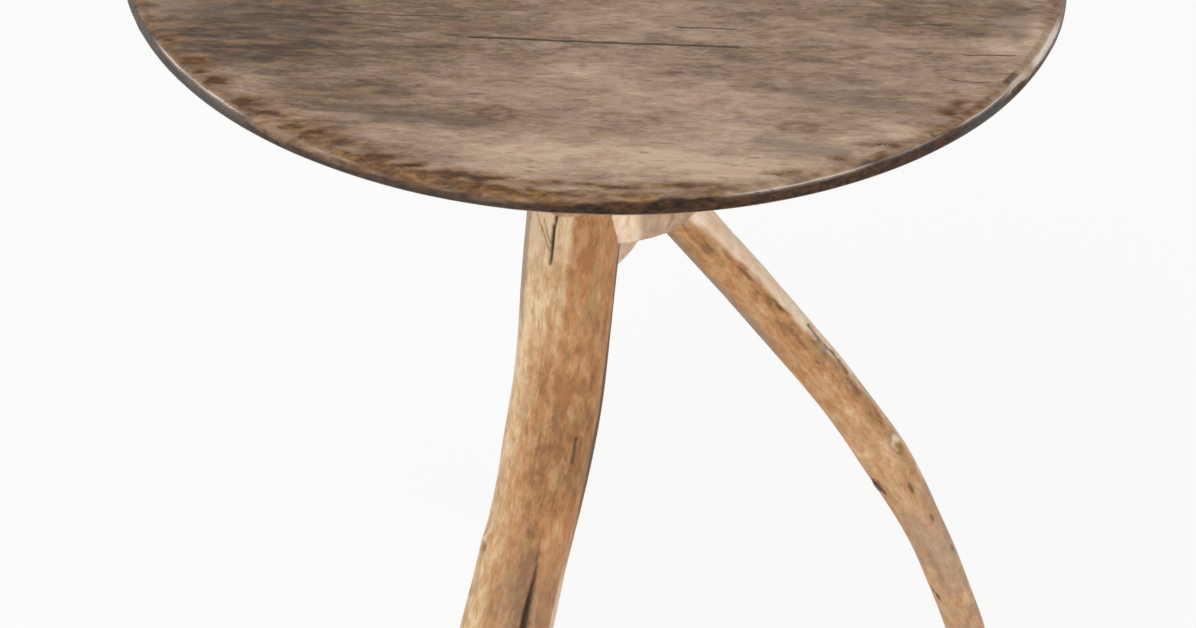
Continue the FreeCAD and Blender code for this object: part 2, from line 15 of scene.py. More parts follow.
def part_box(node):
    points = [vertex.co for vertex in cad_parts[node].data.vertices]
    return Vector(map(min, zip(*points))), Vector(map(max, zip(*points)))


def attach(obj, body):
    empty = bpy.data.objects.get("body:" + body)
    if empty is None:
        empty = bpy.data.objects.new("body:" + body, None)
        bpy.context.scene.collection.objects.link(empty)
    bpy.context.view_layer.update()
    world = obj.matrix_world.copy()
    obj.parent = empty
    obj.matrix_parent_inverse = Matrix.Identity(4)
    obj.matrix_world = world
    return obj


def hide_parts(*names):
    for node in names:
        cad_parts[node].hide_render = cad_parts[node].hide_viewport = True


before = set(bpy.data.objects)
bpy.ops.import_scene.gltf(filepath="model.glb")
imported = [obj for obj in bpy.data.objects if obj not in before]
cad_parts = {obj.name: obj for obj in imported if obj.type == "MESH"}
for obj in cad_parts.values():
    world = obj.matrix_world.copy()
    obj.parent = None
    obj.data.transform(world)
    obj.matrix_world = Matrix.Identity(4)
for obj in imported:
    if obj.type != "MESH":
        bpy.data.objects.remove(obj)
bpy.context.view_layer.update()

bl_info = {
    "name": "Rustic hickory table",
    "version": (1, 0, 0),
    "blender": (4, 5, 0),
    "location": "View3D > Sidebar > Table",
    "description": "Dresses the packed round table in weathered boards and peeled hickory poles",
    "category": "Object",
}

MM = 0.001

# The photograph's camera: width and focal length in pixels, sensor in millimetres, angles in degrees
IMAGE_WIDTH = 1196
FOCAL_PIXELS = 3693.1
SENSOR_WIDTH = 36.0
CAMERA_ELEVATION = 29.3
CAMERA_PITCH = 35.067
CAMERA_YAW = 0.263
CAMERA_ROLL = 2.035

BOARD_NODES = ("board_front", "board_middle", "board_rear")


def packed_box(*nodes):
    """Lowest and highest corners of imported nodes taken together, in millimetres."""
    corners = np.array([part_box(node) for node in nodes]) / MM
    return corners[:, 0].min(axis=0), corners[:, 1].max(axis=0)


# Places worked out from the frame, in millimetres
top_low, top_high = packed_box(*BOARD_NODES)
TOP_MIDDLE = np.array([(top_low[0] + top_high[0]) / 2, (top_low[1] + top_high[1]) / 2, top_high[2]])
TOP_RADIUS = round((top_high[0] - top_low[0]) / 2, 1)
JOINT_FRONT = round(packed_box("board_front")[1][1], 1)
JOINT_REAR = round(packed_box("board_rear")[0][1], 1)
BLOCK_LOW = round(packed_box("mounting_block")[0][2], 1)
HUB_LOW = round(packed_box("trunk_hub")[0][2], 1)


def linear(hex_colour):
    """Linear red, green, blue and alpha of an sRGB hex colour."""
    channels = [int(hex_colour[i:i + 2], 16) / 255 for i in (0, 2, 4)]
    curve = [c / 12.92 if c <= 0.04045 else ((c + 0.055) / 1.055) ** 2.4 for c in channels]
    return (*curve, 1.0)


def colour_property(name, description, hex_colour):
    """Colour that a user may change, with its sRGB hex default."""
    return bpy.props.FloatVectorProperty(name=name, description=description, subtype="COLOR", size=4,
                                         min=0.0, max=1.0, default=linear(hex_colour))


def length_property(name, description, millimetres):
    """Length that a user may change, with its default in millimetres."""
    return bpy.props.FloatProperty(name=name, description=description, unit="LENGTH",
                                   default=millimetres * MM, min=0.0, precision=4)


def number_property(name, description, unit, value):
    """Number in a unit of its own that a user may change."""
    return bpy.props.FloatProperty(name=name, description=description, unit=unit, default=value, min=0.0)


class TopLook(bpy.types.PropertyGroup):
    """Sizes and colours of the three weathered boards."""

    cell: length_property("Mesh cell", "Spacing of the boards' mesh", 1.6)
    grain: length_property("Grain streak", "Width of one streak of the grain", 3.2)
    wear_width: length_property("Worn band", "Width of the rubbed band inside the rim", 15.0)
    relief: length_property("Relief", "How far the surface dips between hard streaks", 0.35)
    pale: colour_property("Pale grain", "Dry, rubbed streaks", "c8ae95")
    tan: colour_property("Tan grain", "Common tone of the boards", "9c8370")
    brown: colour_property("Brown grain", "Darker streaks", "765f4c")
    dark: colour_property("Dark grain", "The oldest streaks", "4a3a2e")
    stain: colour_property("Grey stain", "Old water and iron stains", "665a4e")
    worn: colour_property("Worn rim", "Oiled brown wood at the rim", "704e2a")
    edge: colour_property("Edge", "Dark handled edge under the rim", "4c321e")


class PoleLook(bpy.types.PropertyGroup):
    """Sizes and colours of the peeled poles and the trunk hub."""

    cell: length_property("Mesh cell", "Spacing of the poles' mesh", 1.3)
    fibre: length_property("Fibre", "Width of one bundle of fibres", 2.2)
    mottle: length_property("Mottle", "Size of the light and dark flecks", 6.0)
    pale: colour_property("Sapwood", "Palest dried sapwood", "e6c9a2")
    tan: colour_property("Tan wood", "Common tone of the poles", "c79f76")
    orange: colour_property("Orange wood", "Warm side of the poles", "b78456")
    brown: colour_property("Brown wood", "Brown inner bark left in thin films", "8a623f")
    # The crack colour also paints the shaded flank and crease of the front leg and the shadow line on the
    # trunk
    crack: colour_property("Crack", "Inside of the drying cracks", "3b2719")
    bark: colour_property("Bark scraps", "Scraps of inner bark", "7b5d42")


class JoineryLook(bpy.types.PropertyGroup):
    """Sizes and colours of the pieces under the top."""

    saw_mark: length_property("Saw mark", "Spacing of the saw marks along one side", 37.7)
    wood: colour_property("Sawn wood", "Cleats and block", "a5825f")
    dark_wood: colour_property("Sawn wood shade", "Darker grain of the cleats and block", "7b5b3f")
    peg: colour_property("Peg", "Shaved pegs, dowels and the wedge", "c2a07a")
    steel: colour_property("Screw", "Dulled steel of the screws", "77736c")


class StageLook(bpy.types.PropertyGroup):
    """Floor, lamps and camera."""

    floor: colour_property("Floor", "Pale studio floor", "f4f4f2")
    floor_size: length_property("Floor size", "Side of the floor", 30000.0)
    camera_distance: length_property("Camera distance", "From the camera to the middle of the top", 2400.0)
    focal_length: number_property("Focal length", "Lens in millimetres", "CAMERA",
                                  FOCAL_PIXELS / IMAGE_WIDTH * SENSOR_WIDTH)
    key: number_property("Key lamp", "Power of the large lamp, upper left", "POWER", 23.0)
    front: number_property("Front lamp", "Power of the low lamp in front, on the left", "POWER", 46.0)
    fill: number_property("Fill lamp", "Power of the lamp on the right", "POWER", 21.0)
    sky: number_property("Sky", "Strength of the even light all round", "NONE", 0.56)


# Numbers that look like wood

# Odd factors that scatter whole cells, the step between two seeds, and the bits that are kept
SCATTER = (374761393, 668265263, 1274126177)
SEED_STEP = 97
STIR = 1103515245
LOW_BITS = 0xFFFF
# How far one octave of noise is moved from the last
OCTAVE_SHIFT = 17.3


def lattice(cells, seed):
    """Repeatable value from -1 to 1 for each whole cell."""
    mixed = (cells * SCATTER).sum(axis=-1) + seed * SEED_STEP
    mixed = (mixed ^ (mixed >> 13)) * STIR
    return ((mixed ^ (mixed >> 16)) & LOW_BITS) / (LOW_BITS / 2) - 1


def noise(points, seed, octaves=1):
    """Smooth noise from about -1 to 1, one cell to a unit, picked by a seed, with finer octaves over it."""
    total = np.zeros(points.shape[:-1])
    strength = 1.0
    for octave in range(octaves):
        place = points * 2 ** octave + OCTAVE_SHIFT * octave
        cell = np.floor(place).astype(np.int64)
        part = place - cell
        part = part * part * (3 - 2 * part)
        for corner in np.ndindex(2, 2, 2):
            share = np.prod(np.where(np.array(corner) == 1, part, 1 - part), axis=-1)
            total += strength * share * lattice(cell + np.array(corner), seed + octave)
        strength /= 2
    return total


def ease(values, start, end):
    """Smooth step from nothing at start to one at end."""
    share = np.clip((values - start) / (end - start), 0, 1)
    return share * share * (3 - 2 * share)


def spread(distance, width):
    """Soft spot: one at no distance, about a third at the width."""
    return np.exp(-(distance / width) ** 2)


def half_turned(degrees):
    """Angles brought to between half a turn back and half a turn ahead."""
    return (degrees + 180) % 360 - 180


def round_circle(count):
    """Angles of evenly spaced points round a circle, in radians."""
    return np.linspace(0, 2 * math.pi, count, endpoint=False)


def spokes(radius, angle):
    """Level vectors with a length at each angle."""
    return np.stack([radius * np.cos(angle), radius * np.sin(angle), 0 * radius], axis=-1)


def line_distance(across, along, places):
    """Distance of points on a plane from a line through places."""
    nearest = np.full(np.shape(across), np.inf)
    for (x, y), (next_x, next_y) in zip(places, places[1:]):
        run, rise = next_x - x, next_y - y
        share = np.clip(((across - x) * run + (along - y) * rise) / (run ** 2 + rise ** 2), 0, 1)
        nearest = np.minimum(nearest, np.hypot(across - x - share * run, along - y - share * rise))
    return nearest


def smoothed(rows, width):
    """Rows of values evened over a number of rows, with straight run-outs at both ends."""
    reach = int(3 * width)
    steps = np.arange(1, reach + 1)[:, None]
    before = rows[:1] + (rows[:1] - rows[1:2]) * steps[::-1]
    after = rows[-1:] + (rows[-1:] - rows[-2:-1]) * steps
    weights = np.exp(-(np.arange(-reach, reach + 1) / width) ** 2 / 2)
    weights /= weights.sum()
    padded = np.concatenate([before, rows, after])
    return np.apply_along_axis(np.convolve, 0, padded, weights, mode="valid")


def strengthen(marks, name, values):
    """Raises one of a surface's marks to new values, where those are stronger."""
    marks[name] = np.maximum(marks[name], values)


# Meshes

def new_piece(name, points, faces, marks):
    """Mesh object in the scene from points in millimetres, with its named marks on the points."""
    mesh = bpy.data.meshes.new(name)
    mesh.from_pydata((points * MM).tolist(), [], faces)
    for mark, values in marks.items():
        kind, field = ("FLOAT_VECTOR", "vector") if values.ndim == 2 else ("FLOAT", "value")
        layer = mesh.attributes.new(mark, kind, "POINT")
        layer.data.foreach_set(field, values.astype(np.float32).ravel())
    mesh.polygons.foreach_set("use_smooth", [True] * len(mesh.polygons))
    mesh.update()
    return linked(name, mesh)


def linked(name, data):
    """New object in the scene."""
    made = bpy.data.objects.new(name, data)
    bpy.context.scene.collection.objects.link(made)
    return made


def give_finish(piece, material):
    """Gives an object one finish in place of any that it has."""
    piece.data.materials.clear()
    piece.data.materials.append(material)


def dress(piece, node, material):
    """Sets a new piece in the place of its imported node."""
    give_finish(piece, material)
    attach(piece, "root")
    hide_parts(node)


def ring_faces(rings):
    """Quads between neighbouring closed rings of point numbers, top ring first, turning anticlockwise."""
    ahead = np.roll(rings, -1, axis=1)
    return np.stack([rings[:-1], rings[1:], ahead[1:], ahead[:-1]], axis=-1).reshape(-1, 4).tolist()


def cap_faces(centre, ring, upward):
    """Triangles from a centre point to a ring of point numbers."""
    sides = (ring, np.roll(ring, -1)) if upward else (np.roll(ring, -1), ring)
    return np.stack([np.full(len(ring), centre), *sides], axis=1).tolist()


def closed_stack(name, rings, top, foot, marks):
    """Closed mesh of a stack of rings, with a point in the middle of its top and one in its foot."""
    points = np.vstack([rings.reshape(-1, 3), top, foot])
    numbers = np.arange(len(points) - 2).reshape(rings.shape[:2])
    faces = ring_faces(numbers) + cap_faces(len(points) - 2, numbers[0], True)
    faces += cap_faces(len(points) - 1, numbers[-1], False)
    marks.setdefault("grain", points * MM)
    return new_piece(name, points, faces, marks)


def level_slice(node, height):
    """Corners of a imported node's outline at a height, in millimetres."""
    cut = bmesh.new()
    cut.from_mesh(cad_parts[node].data)
    found = bmesh.ops.bisect_plane(cut, geom=cut.verts[:] + cut.edges[:] + cut.faces[:],
                                   plane_co=(0, 0, height * MM), plane_no=(0, 0, 1))
    corners = [v.co[:2] for v in found["geom_cut"] if isinstance(v, bmesh.types.BMVert)]
    cut.free()
    return np.array(corners) / MM


# Poles

# The pale, grey and dark marks carry painted highlights and shade as well as the wood's own colour
POLE_MARKS = ("tone", "dark", "bark", "pale", "warm", "grey")
# Slices of a packed pole, in millimetres: the lowest, their spacing, and how far they are evened
LOWEST_SLICE = 0.4
SLICE_SPACING = 8.0
SLICE_SMOOTHING = 13.0
# Points round a slice, and the number of waves that its outline keeps
SLICE_POINTS = 360
OUTLINE_WAVES = 6
# Spacing of the fine rings as a share of the mesh cell
RING_SHARE = 0.85


def pole_slices(node, heights, angles):
    """Rows of the middle's x and y and the outline's radii of a packed pole, one row for each height."""
    rows = []
    for height in heights:
        corners = level_slice(node, height)
        middle = (corners.min(axis=0) + corners.max(axis=0)) / 2
        offset = corners - middle
        turn = np.arctan2(offset[:, 1], offset[:, 0]) % (2 * math.pi)
        order = np.argsort(turn)
        outline = np.interp(angles, turn[order], np.hypot(*offset.T)[order], period=2 * math.pi)
        waves = np.fft.rfft(outline)
        waves[OUTLINE_WAVES + 1:] = 0
        rows.append([*middle, *np.fft.irfft(waves, len(angles))])
    return np.array(rows)


class Pole:
    """A packed pole as a fine grid of level rings, with each point's place along and round it.

    Heights are above the floor, and turns are degrees round the pole from its front, rightwards plus.
    """

    def __init__(self, node, root_height, inside, cell):
        top = root_height + inside
        heights = np.arange(LOWEST_SLICE, root_height, SLICE_SPACING)[::-1]
        angles = round_circle(SLICE_POINTS)
        table = pole_slices(node, heights, angles)
        lead = (top - heights[0]) * (table[0] - table[3]) / (heights[0] - heights[3])
        lead[2:] = 0
        table = np.vstack([table[0] + lead, table])
        heights = np.concatenate([[top], heights])
        rise = np.arange(0, top, cell * RING_SHARE)[::-1]
        fine = np.stack([np.interp(-rise, -heights, column) for column in table.T], axis=1)
        fine = smoothed(fine, SLICE_SMOOTHING / (cell * RING_SHARE))
        angle = round_circle(int(math.pi * 2 * np.median(fine[:, 2:]) / cell))
        level = np.stack([np.interp(angle, angles, row, period=2 * math.pi) for row in fine[:, 2:]])
        self.middle = np.column_stack([fine[:, :2], rise])
        heading = np.gradient(self.middle, axis=0)
        heading /= np.linalg.norm(heading, axis=1)[:, None]
        steps = np.linalg.norm(np.diff(self.middle, axis=0), axis=1)
        self.gone = np.concatenate([[0], np.cumsum(steps)])
        spoke = spokes(level, angle)
        self.points = self.middle[:, None] + spoke
        slip = np.einsum("rck,rk->rc", spoke, heading)
        square = spoke - slip[..., None] * heading[:, None]
        self.along = self.gone[:, None] + slip
        self.height = np.interp(self.along, self.gone, rise)
        self.radius = np.linalg.norm(square, axis=-1)
        front = np.array([0, -1, 0]) + heading * heading[:, 1:2]
        front /= np.linalg.norm(front, axis=1)[:, None]
        rightwards = np.einsum("rck,rk->rc", square, np.cross(front, heading))
        self.turn = np.degrees(np.arctan2(rightwards, np.einsum("rck,rk->rc", square, front)))
        self.round = spokes(self.radius, np.radians(self.turn))
        self.round[..., 2] = self.along
        self.lift = np.zeros_like(self.radius)
        self.marks = {name: np.zeros_like(self.radius) for name in POLE_MARKS}

    def gone_at(self, height):
        """Distance along the pole at a height."""
        return np.interp(-height, -self.middle[:, 2], self.gone)

    def turn_along(self, places):
        """Turn at each point's height of a line through places, each a height and a turn, highest first."""
        return np.interp(self.height, *zip(*places[::-1]))

    def aside(self, turn):
        """How far round each point lies from a turn, in millimetres, rightwards plus."""
        return np.radians(half_turned(self.turn - turn)) * self.radius

    def above(self, low, high):
        """Nothing below the low height, one above the high one."""
        return ease(self.height, low, high)

    def below(self, high, low):
        """Nothing above the high height, one below the low one."""
        return ease(-self.height, -high, -low)

    def line(self, places, width):
        """Soft line through places on the pole, each a height and a turn."""
        mark = np.zeros_like(self.radius)
        waver = 0.6 * noise(self.round * (0.1, 0.1, 0.16), 77, 2)
        for (high, turn), (low, next_turn) in zip(places, places[1:]):
            along = self.along - self.gone_at(high)
            aside = self.aside(turn) + waver
            run = self.gone_at(low) - self.gone_at(high)
            sweep = math.radians(next_turn - turn) * self.radius
            share = np.clip((along * run + aside * sweep) / (run ** 2 + sweep ** 2), 0, 1)
            mark = np.maximum(mark, spread(np.hypot(along - share * run, aside - share * sweep), width))
        return mark

    def mark(self, name, values):
        """Adds to one of the pole's marks, where the new value is stronger."""
        strengthen(self.marks, name, values)

    def shade(self, values):
        """Darkens the pole's tone, or lightens it where the value is under nothing."""
        self.marks["tone"] += values

    def crack(self, places, width, depth, darkness):
        """Drying crack: a narrow dark cut along the pole."""
        cut = self.line(places, width)
        self.lift -= depth * cut
        broken = ease(noise(self.round * (0.3, 0.3, 0.14), 79, 2), -1.1, -0.3)
        self.mark("dark", darkness * broken * ease(cut, 0.15, 0.75))

    def knot(self, height, turn, size, rise):
        """Healed knot, a third longer than wide: a low boss with a ring round a sunk eye."""
        away = np.hypot((self.along - self.gone_at(height)) / 1.35, self.aside(turn))
        away += size * 0.22 * noise(self.round * 0.13, 67, 3)
        self.lift += rise * spread(away, size) - rise * 0.7 * spread(away, size * 0.32)
        swirl = self.round + 4 * noise(self.round * 0.08, 69, 2)[..., None]
        self.mark("dark", 0.45 * spread(away, size * 0.26))
        for name, strength, middle, width, fineness, seed in (("bark", 0.7, 0.62, 0.14, 0.12, 71),
                                                              ("pale", 0.8, 0.35, 0.40, 0.10, 73)):
            broken = ease(noise(swirl * fineness, seed, 2), -0.2, 0.3)
            self.mark(name, strength * spread(away - size * middle, size * width) * broken)

    def scrap(self, height, turn, length, width, rise):
        """Scrap of inner bark that stands proud, with a torn edge."""
        along = (self.along - self.gone_at(height)) / length
        torn = np.exp(-along ** 2 - (self.aside(turn) / width) ** 2)
        torn += 0.22 * noise(self.round * (0.22, 0.22, 0.10), 41, 2)
        cover = ease(torn, 0.42, 0.60)
        self.lift += rise * cover
        self.mark("bark", cover)
        self.mark("dark", 0.5 * ease(torn, 0.30, 0.42) * (1 - cover))

    def fibres(self, depth):
        """Long low ridges that peeling leaves, and a slow waver."""
        self.lift += depth * noise(self.round * (0.45, 0.45, 0.012), 5, 2)
        self.lift += 2.2 * depth * noise(self.round * (0.05, 0.05, 0.016), 9, 2)

    def piece(self, name, arris):
        """The pole's mesh, closed inside the hub and at its sawn foot with a worn arris."""
        ahead = np.roll(self.points, -1, axis=1) - np.roll(self.points, 1, axis=1)
        normal = np.cross(np.gradient(self.points, axis=0), ahead)
        normal /= np.linalg.norm(normal, axis=-1)[..., None]
        rings = self.points + normal * (self.lift * self.above(-2, 6))[..., None]
        rings[-1, :, 2] = arris
        sole = rings[-1] + (self.middle[-1] - rings[-1]) * (arris / self.radius[-1])[:, None]
        sole[:, 2] = 0
        marks = {mark: np.concatenate([values.ravel(), values[-1], [0, 0]])
                 for mark, values in self.marks.items()}
        grain = self.round * MM
        ends = [[0, 0, grain[0, 0, 2]], [0, 0, grain[-1, 0, 2]]]
        marks["grain"] = np.vstack([grain.reshape(-1, 3), grain[-1] * (0.92, 0.92, 1), ends])
        rings = np.concatenate([rings, sole[None]])
        return closed_stack(name, rings, self.middle[0], self.middle[-1], marks)


# What marks the legs, at heights in millimetres and turns in degrees

# Crease down the front leg
FRONT_CREASE = (
    (455, -2), (397, -6), (336, -7), (276, -3), (222, 5), (192, 14), (162, 17), (100, 20), (0, 24),
)
# Where the painted shade down the right flank of the front leg starts
FRONT_SHADED_FLANK = ((455, 78), (400, 76), (340, 70), (290, 65), (200, 65))
# Where the painted highlight on the upper back of the right leg starts, the side turned to the light
RIGHT_LIT_BACK = ((430, 28), (400, 34), (350, 45), (300, 63), (240, 80), (0, 94))
# Brown vein on the left of the right leg
RIGHT_VEIN = ((413, -32), (390, -40), (338, -46), (311, -44))
# Drying cracks: the places that each runs through, its width, depth and darkness
LEG_CRACKS = {
    "leg_front": (
        (((455, -23), (450, -25), (439, -28), (414, -29)), 1.4, 1.8, 1.0),
        (((448, -62), (436, -45), (424, -31)), 0.9, 0.5, 0.5),
        (((446, -44), (430, -32)), 0.8, 0.4, 0.5),
        (((286, 29), (268, 29)), 1.3, 0.8, 0.8),
    ),
    "leg_right": (
        (((390, 34), (382, 37), (376, 41)), 0.8, 0.3, 0.4),
        (((362, 50), (352, 46), (345, 53)), 0.8, 0.3, 0.3),
        (((333, 74), (322, 70), (310, 76), (296, 72)), 1.6, 0.6, 0.8),
        (((325, 58), (316, 63), (303, 57)), 1.0, 0.4, 0.5),
        (((291, 86), (276, 94), (255, 96)), 1.2, 0.4, 0.7),
        (((227, -52), (222, -43), (214, -42)), 0.9, 0.8, 1.0),
        (((128, -62), (122, -54)), 0.9, 0.8, 1.0),
        (((122, -49), (116, -41)), 0.9, 0.8, 1.0),
    ),
    "leg_rear": ((((240, 30), (150, 34)), 0.8, 1.0, 1.0),),
}
# Healed knots: height, turn, size and rise
LEG_KNOTS = {
    "leg_front": ((198, -85, 9.0, 1.6),),
    "leg_right": ((243, 58, 9.0, 1.2),),
    "leg_rear": ((300, 120, 8.0, 1.2), (170, -140, 7.0, 1.0)),
}
# Scraps of inner bark: height, turn, half the length, half the width and rise
RIGHT_SCRAPS = (
    (382, 36, 6, 1.3, 0.3), (357, 44, 7, 1.2, 0.3), (222, -45, 7, 4.0, 0.9), (214, 33, 5, 1.4, 0.5),
    (184, 44, 3, 1.2, 0.5), (153, 69, 4, 1.5, 0.5),
)


def front_leg_surface(pole):
    """Crease of the front leg, with painted light and shade beside it and along its edges."""
    pole.fibres(0.28)
    beside = pole.aside(pole.turn_along(FRONT_CREASE))
    ragged = pole.turn + 4 * noise(pole.round * (0.05, 0.05, 0.06), 63, 3)
    right_side = ease(beside + 1.5 * noise(pole.round * 0.06, 81, 2), -2.5, 4.5)
    foot = pole.below(225, 175)
    lower = pole.below(400, 260)
    upper = pole.above(395, 440)
    upper_left = upper * ease(-ragged, -2, 8)
    opening = 1.3 + 2.4 * pole.below(205, 150)
    pole.lift -= (0.4 + 2.6 * foot) * spread(beside, opening + 0.3) + 0.5 * spread(beside, 7)
    # Painted shade in the hollow of the crease, deepening into the open crack near the foot
    pole.mark("dark", (0.10 + 0.90 * foot) * ease(spread(beside + 0.6, opening), 0.1, 0.75))
    # Painted light and shade: the right of the crease darker and the upper left lighter, as if lit from the
    # left,
    # a painted shadow in a band just left of the crease, and painted highlights along both edges
    pole.shade((0.30 + 0.26 * lower) * (1 - 0.85 * pole.below(262, 205)) * right_side)
    pole.shade((0.36 * lower - 0.22) * (1 - right_side))
    pole.shade((0.24 + 0.14 * lower) * (1 - upper) * spread(beside + 7, 9))
    pole.shade(0.30 * upper * spread(beside - 6, 9) - 0.22 * upper_left)
    pole.shade(0.28 * pole.below(215, 175) * right_side)
    pole.shade(-(0.10 + 0.18 * lower) * ease(-ragged, 40, 60) - 0.12 * ease(ragged, 44, 58))
    pole.mark("warm", 0.8 * right_side)
    pole.mark("grey", 0.20 * upper_left)
    pole.mark("grey", 0.26 * pole.below(225, 180) * ease(ragged, -55, -25))
    # Painted shade: a grey line down the left edge of the upper leg, where it turns away from view
    pole.mark("grey", 0.9 * ease(-ragged, 74, 79) * (1 - ease(-ragged, 120, 135)) * pole.above(330, 400))
    # Painted shade: a dark strip down the right flank, where the round leg turns away from the light
    start = pole.turn_along(FRONT_SHADED_FLANK)
    flank = ease(ragged, start, start + 4) * (1 - ease(ragged, 86, 104))
    fade = ease(pole.height + 16 * noise(pole.round * 0.04, 85, 2), 192, 246)
    pole.mark("dark", 0.80 * flank * fade)
    # Painted highlight: a pale strip down the right edge near the foot
    edge = ease(ragged, 56, 66) * (1 - ease(ragged, 92, 120))
    pole.mark("pale", 0.9 * edge * pole.below(216, 180))


def right_leg_surface(pole):
    """Painted highlight on the upper back, bark scraps, shades, and painted shade down the upper left of
    the right leg.
    """
    pole.fibres(0.22)
    ragged = pole.turn + 9 * noise(pole.round * (0.06, 0.06, 0.05), 65, 3)
    start = pole.turn_along(RIGHT_LIT_BACK)
    beside = np.radians(ragged - start) * pole.radius
    streaky = ease(noise(pole.round * (0.20, 0.20, 0.07), 83, 3), 0.05, 0.9)
    upper = pole.above(205, 260)
    foot = pole.below(245, 170) * ease(noise(pole.round * 0.06, 89, 2), -0.8, 0.6)
    # Painted highlight: the upper back of the leg, turned to the light, painted pale
    pole.mark("pale", (0.35 + 0.65 * pole.above(225, 300)) * ease(ragged, start, start + 14))
    pole.mark("pale", 0.13 * pole.below(230, 160))
    pole.shade(0.10 * (1 - ease(np.abs(pole.turn - 10), 25, 70)) + 0.10 * pole.below(215, 150))
    pole.shade((0.16 + 0.4 * streaky) * spread(beside + 4, 5.5) * upper)
    pole.shade(0.10 * pole.line(RIGHT_VEIN, 5.0))
    pole.mark("bark", 0.6 * ease(streaky, 0.5, 0.9) * spread(beside + 3, 3.2) * upper)
    # Painted shade: grey down the left side of the leg near its root
    pole.mark("grey", 0.8 * ease(-ragged, 22, 44) * pole.above(310, 350) * (1 - ease(-ragged, 110, 130)))
    pole.mark("grey", 0.55 * foot)
    for scrap in RIGHT_SCRAPS:
        pole.scrap(*scrap)


def rear_leg_surface(pole):
    """Fibres of the rear leg, and a painted highlight on its root under the top."""
    pole.fibres(0.25)
    pole.mark("warm", 0.4)
    # Painted highlight: the root under the top painted pale, standing in for light that the top keeps off
    pole.mark("pale", 0.95 * pole.above(330, 370))


# Legs: root above the hub's lower end, length of the mesh inside the hub and worn arris of the foot,
# in millimetres, then the shift of the wood's tone and what carves the surface
LEGS = {
    "leg_front": (35.0, 6.0, 2.0, 0.04, front_leg_surface),
    "leg_right": (1.0, 16.0, 1.5, 0.04, right_leg_surface),
    "leg_rear": (1.0, 6.0, 1.5, -0.16, rear_leg_surface),
}


# Trunk hub

# Swellings of the trunk round its middle: how far out in millimetres, and where in degrees
HUB_SWELLS = ((32.0, -124.0), (26.0, -4.0), (6.0, 100.0))
SWELL_SPREAD = 34.0
# Width of the trunk, the width that sets its mesh, how far its lower end lies to the right and to the
# rear of its upper one, and its worn arris, all in millimetres
HUB_WIDTH = 92.0
HUB_MESH_WIDTH = 122.0
HUB_LEAN = 14.0
HUB_SET_BACK = 4.0
HUB_ARRIS = 1.5
# Rows of the mesh over which the swellings are evened, and the shift of the wood's tone
HUB_EVENED_ROWS = 5
HUB_TONE_SHIFT = 0.10
# Radius of the tenon, and how far up into the block its mesh goes
TENON_RADIUS = 20.0
TENON_RISE = 20.0
# Share of the height, of the width, and of the front, right and rear swelling
HUB_SHARES = (
    (0.000, 0.90, 0.00, 0.50, 0.50), (0.125, 1.00, 0.10, 1.00, 1.00), (0.250, 1.00, 0.86, 0.74, 0.80),
    (0.375, 0.98, 1.00, 0.38, 0.45), (0.500, 0.96, 0.74, 0.16, 0.22), (0.625, 0.95, 0.42, 0.06, 0.10),
    (0.750, 0.96, 0.18, 0.02, 0.04), (0.875, 0.98, 0.07, 0.00, 0.00), (1.000, 1.02, 0.02, 0.00, 0.00),
)


def hub_piece(name, cell):
    """The trunk between the legs and the block, sawn off level below."""
    rows = np.array(HUB_SHARES)
    up = np.linspace(1, 0, int((BLOCK_LOW - HUB_LOW) / cell))
    shares = np.stack([np.interp(up, rows[:, 0], column) for column in rows.T], axis=1)
    shares = smoothed(shares, HUB_EVENED_ROWS)
    angle = round_circle(int(math.pi * HUB_MESH_WIDTH / cell))
    radius = shares[:, 1:2] * HUB_WIDTH / 2 * np.ones(len(angle))
    for column, (swell, azimuth) in enumerate(HUB_SWELLS, 2):
        away = half_turned(np.degrees(angle) - azimuth)
        radius = radius + swell * shares[:, column:column + 1] * spread(away, SWELL_SPREAD)
    height = HUB_LOW + (BLOCK_LOW - HUB_LOW) * up
    middle = np.column_stack([TOP_MIDDLE[0] + HUB_LEAN * (1 - up), HUB_SET_BACK * (1 - up), height])
    grain = spokes(radius, angle) + np.array([0, 0, 1]) * height[:, None, None]
    ridges = noise(grain * (0.16, 0.16, 0.007), 21, 2)
    fine = noise(grain * (0.5, 0.5, 0.012), 23, 2)
    radius = radius + np.minimum(0.9 * ridges + 0.3 * fine - 0.6, 0.2)
    around = spokes(radius, angle)
    rings = middle[:, None] + around
    rings[-1, :, 2] += HUB_ARRIS
    sole = middle[-1] + around[-1] * (1 - HUB_ARRIS / radius[-1])[:, None]
    tenon = spokes(np.full(len(angle), TENON_RADIUS), angle)
    tenon_top = np.array([TOP_MIDDLE[0], 0, BLOCK_LOW + TENON_RISE])
    collar = np.stack([tenon + tenon_top, tenon + tenon_top - (0, 0, TENON_RISE)])
    marks = {mark: np.concatenate([np.zeros(2 * len(angle)), values.ravel(), values[-1], [0, 0]])
             for mark, values in hub_shades(angle, grain, ridges).items()}
    return closed_stack(name, np.concatenate([collar, rings, sole[None]]), tenon_top, middle[-1], marks)


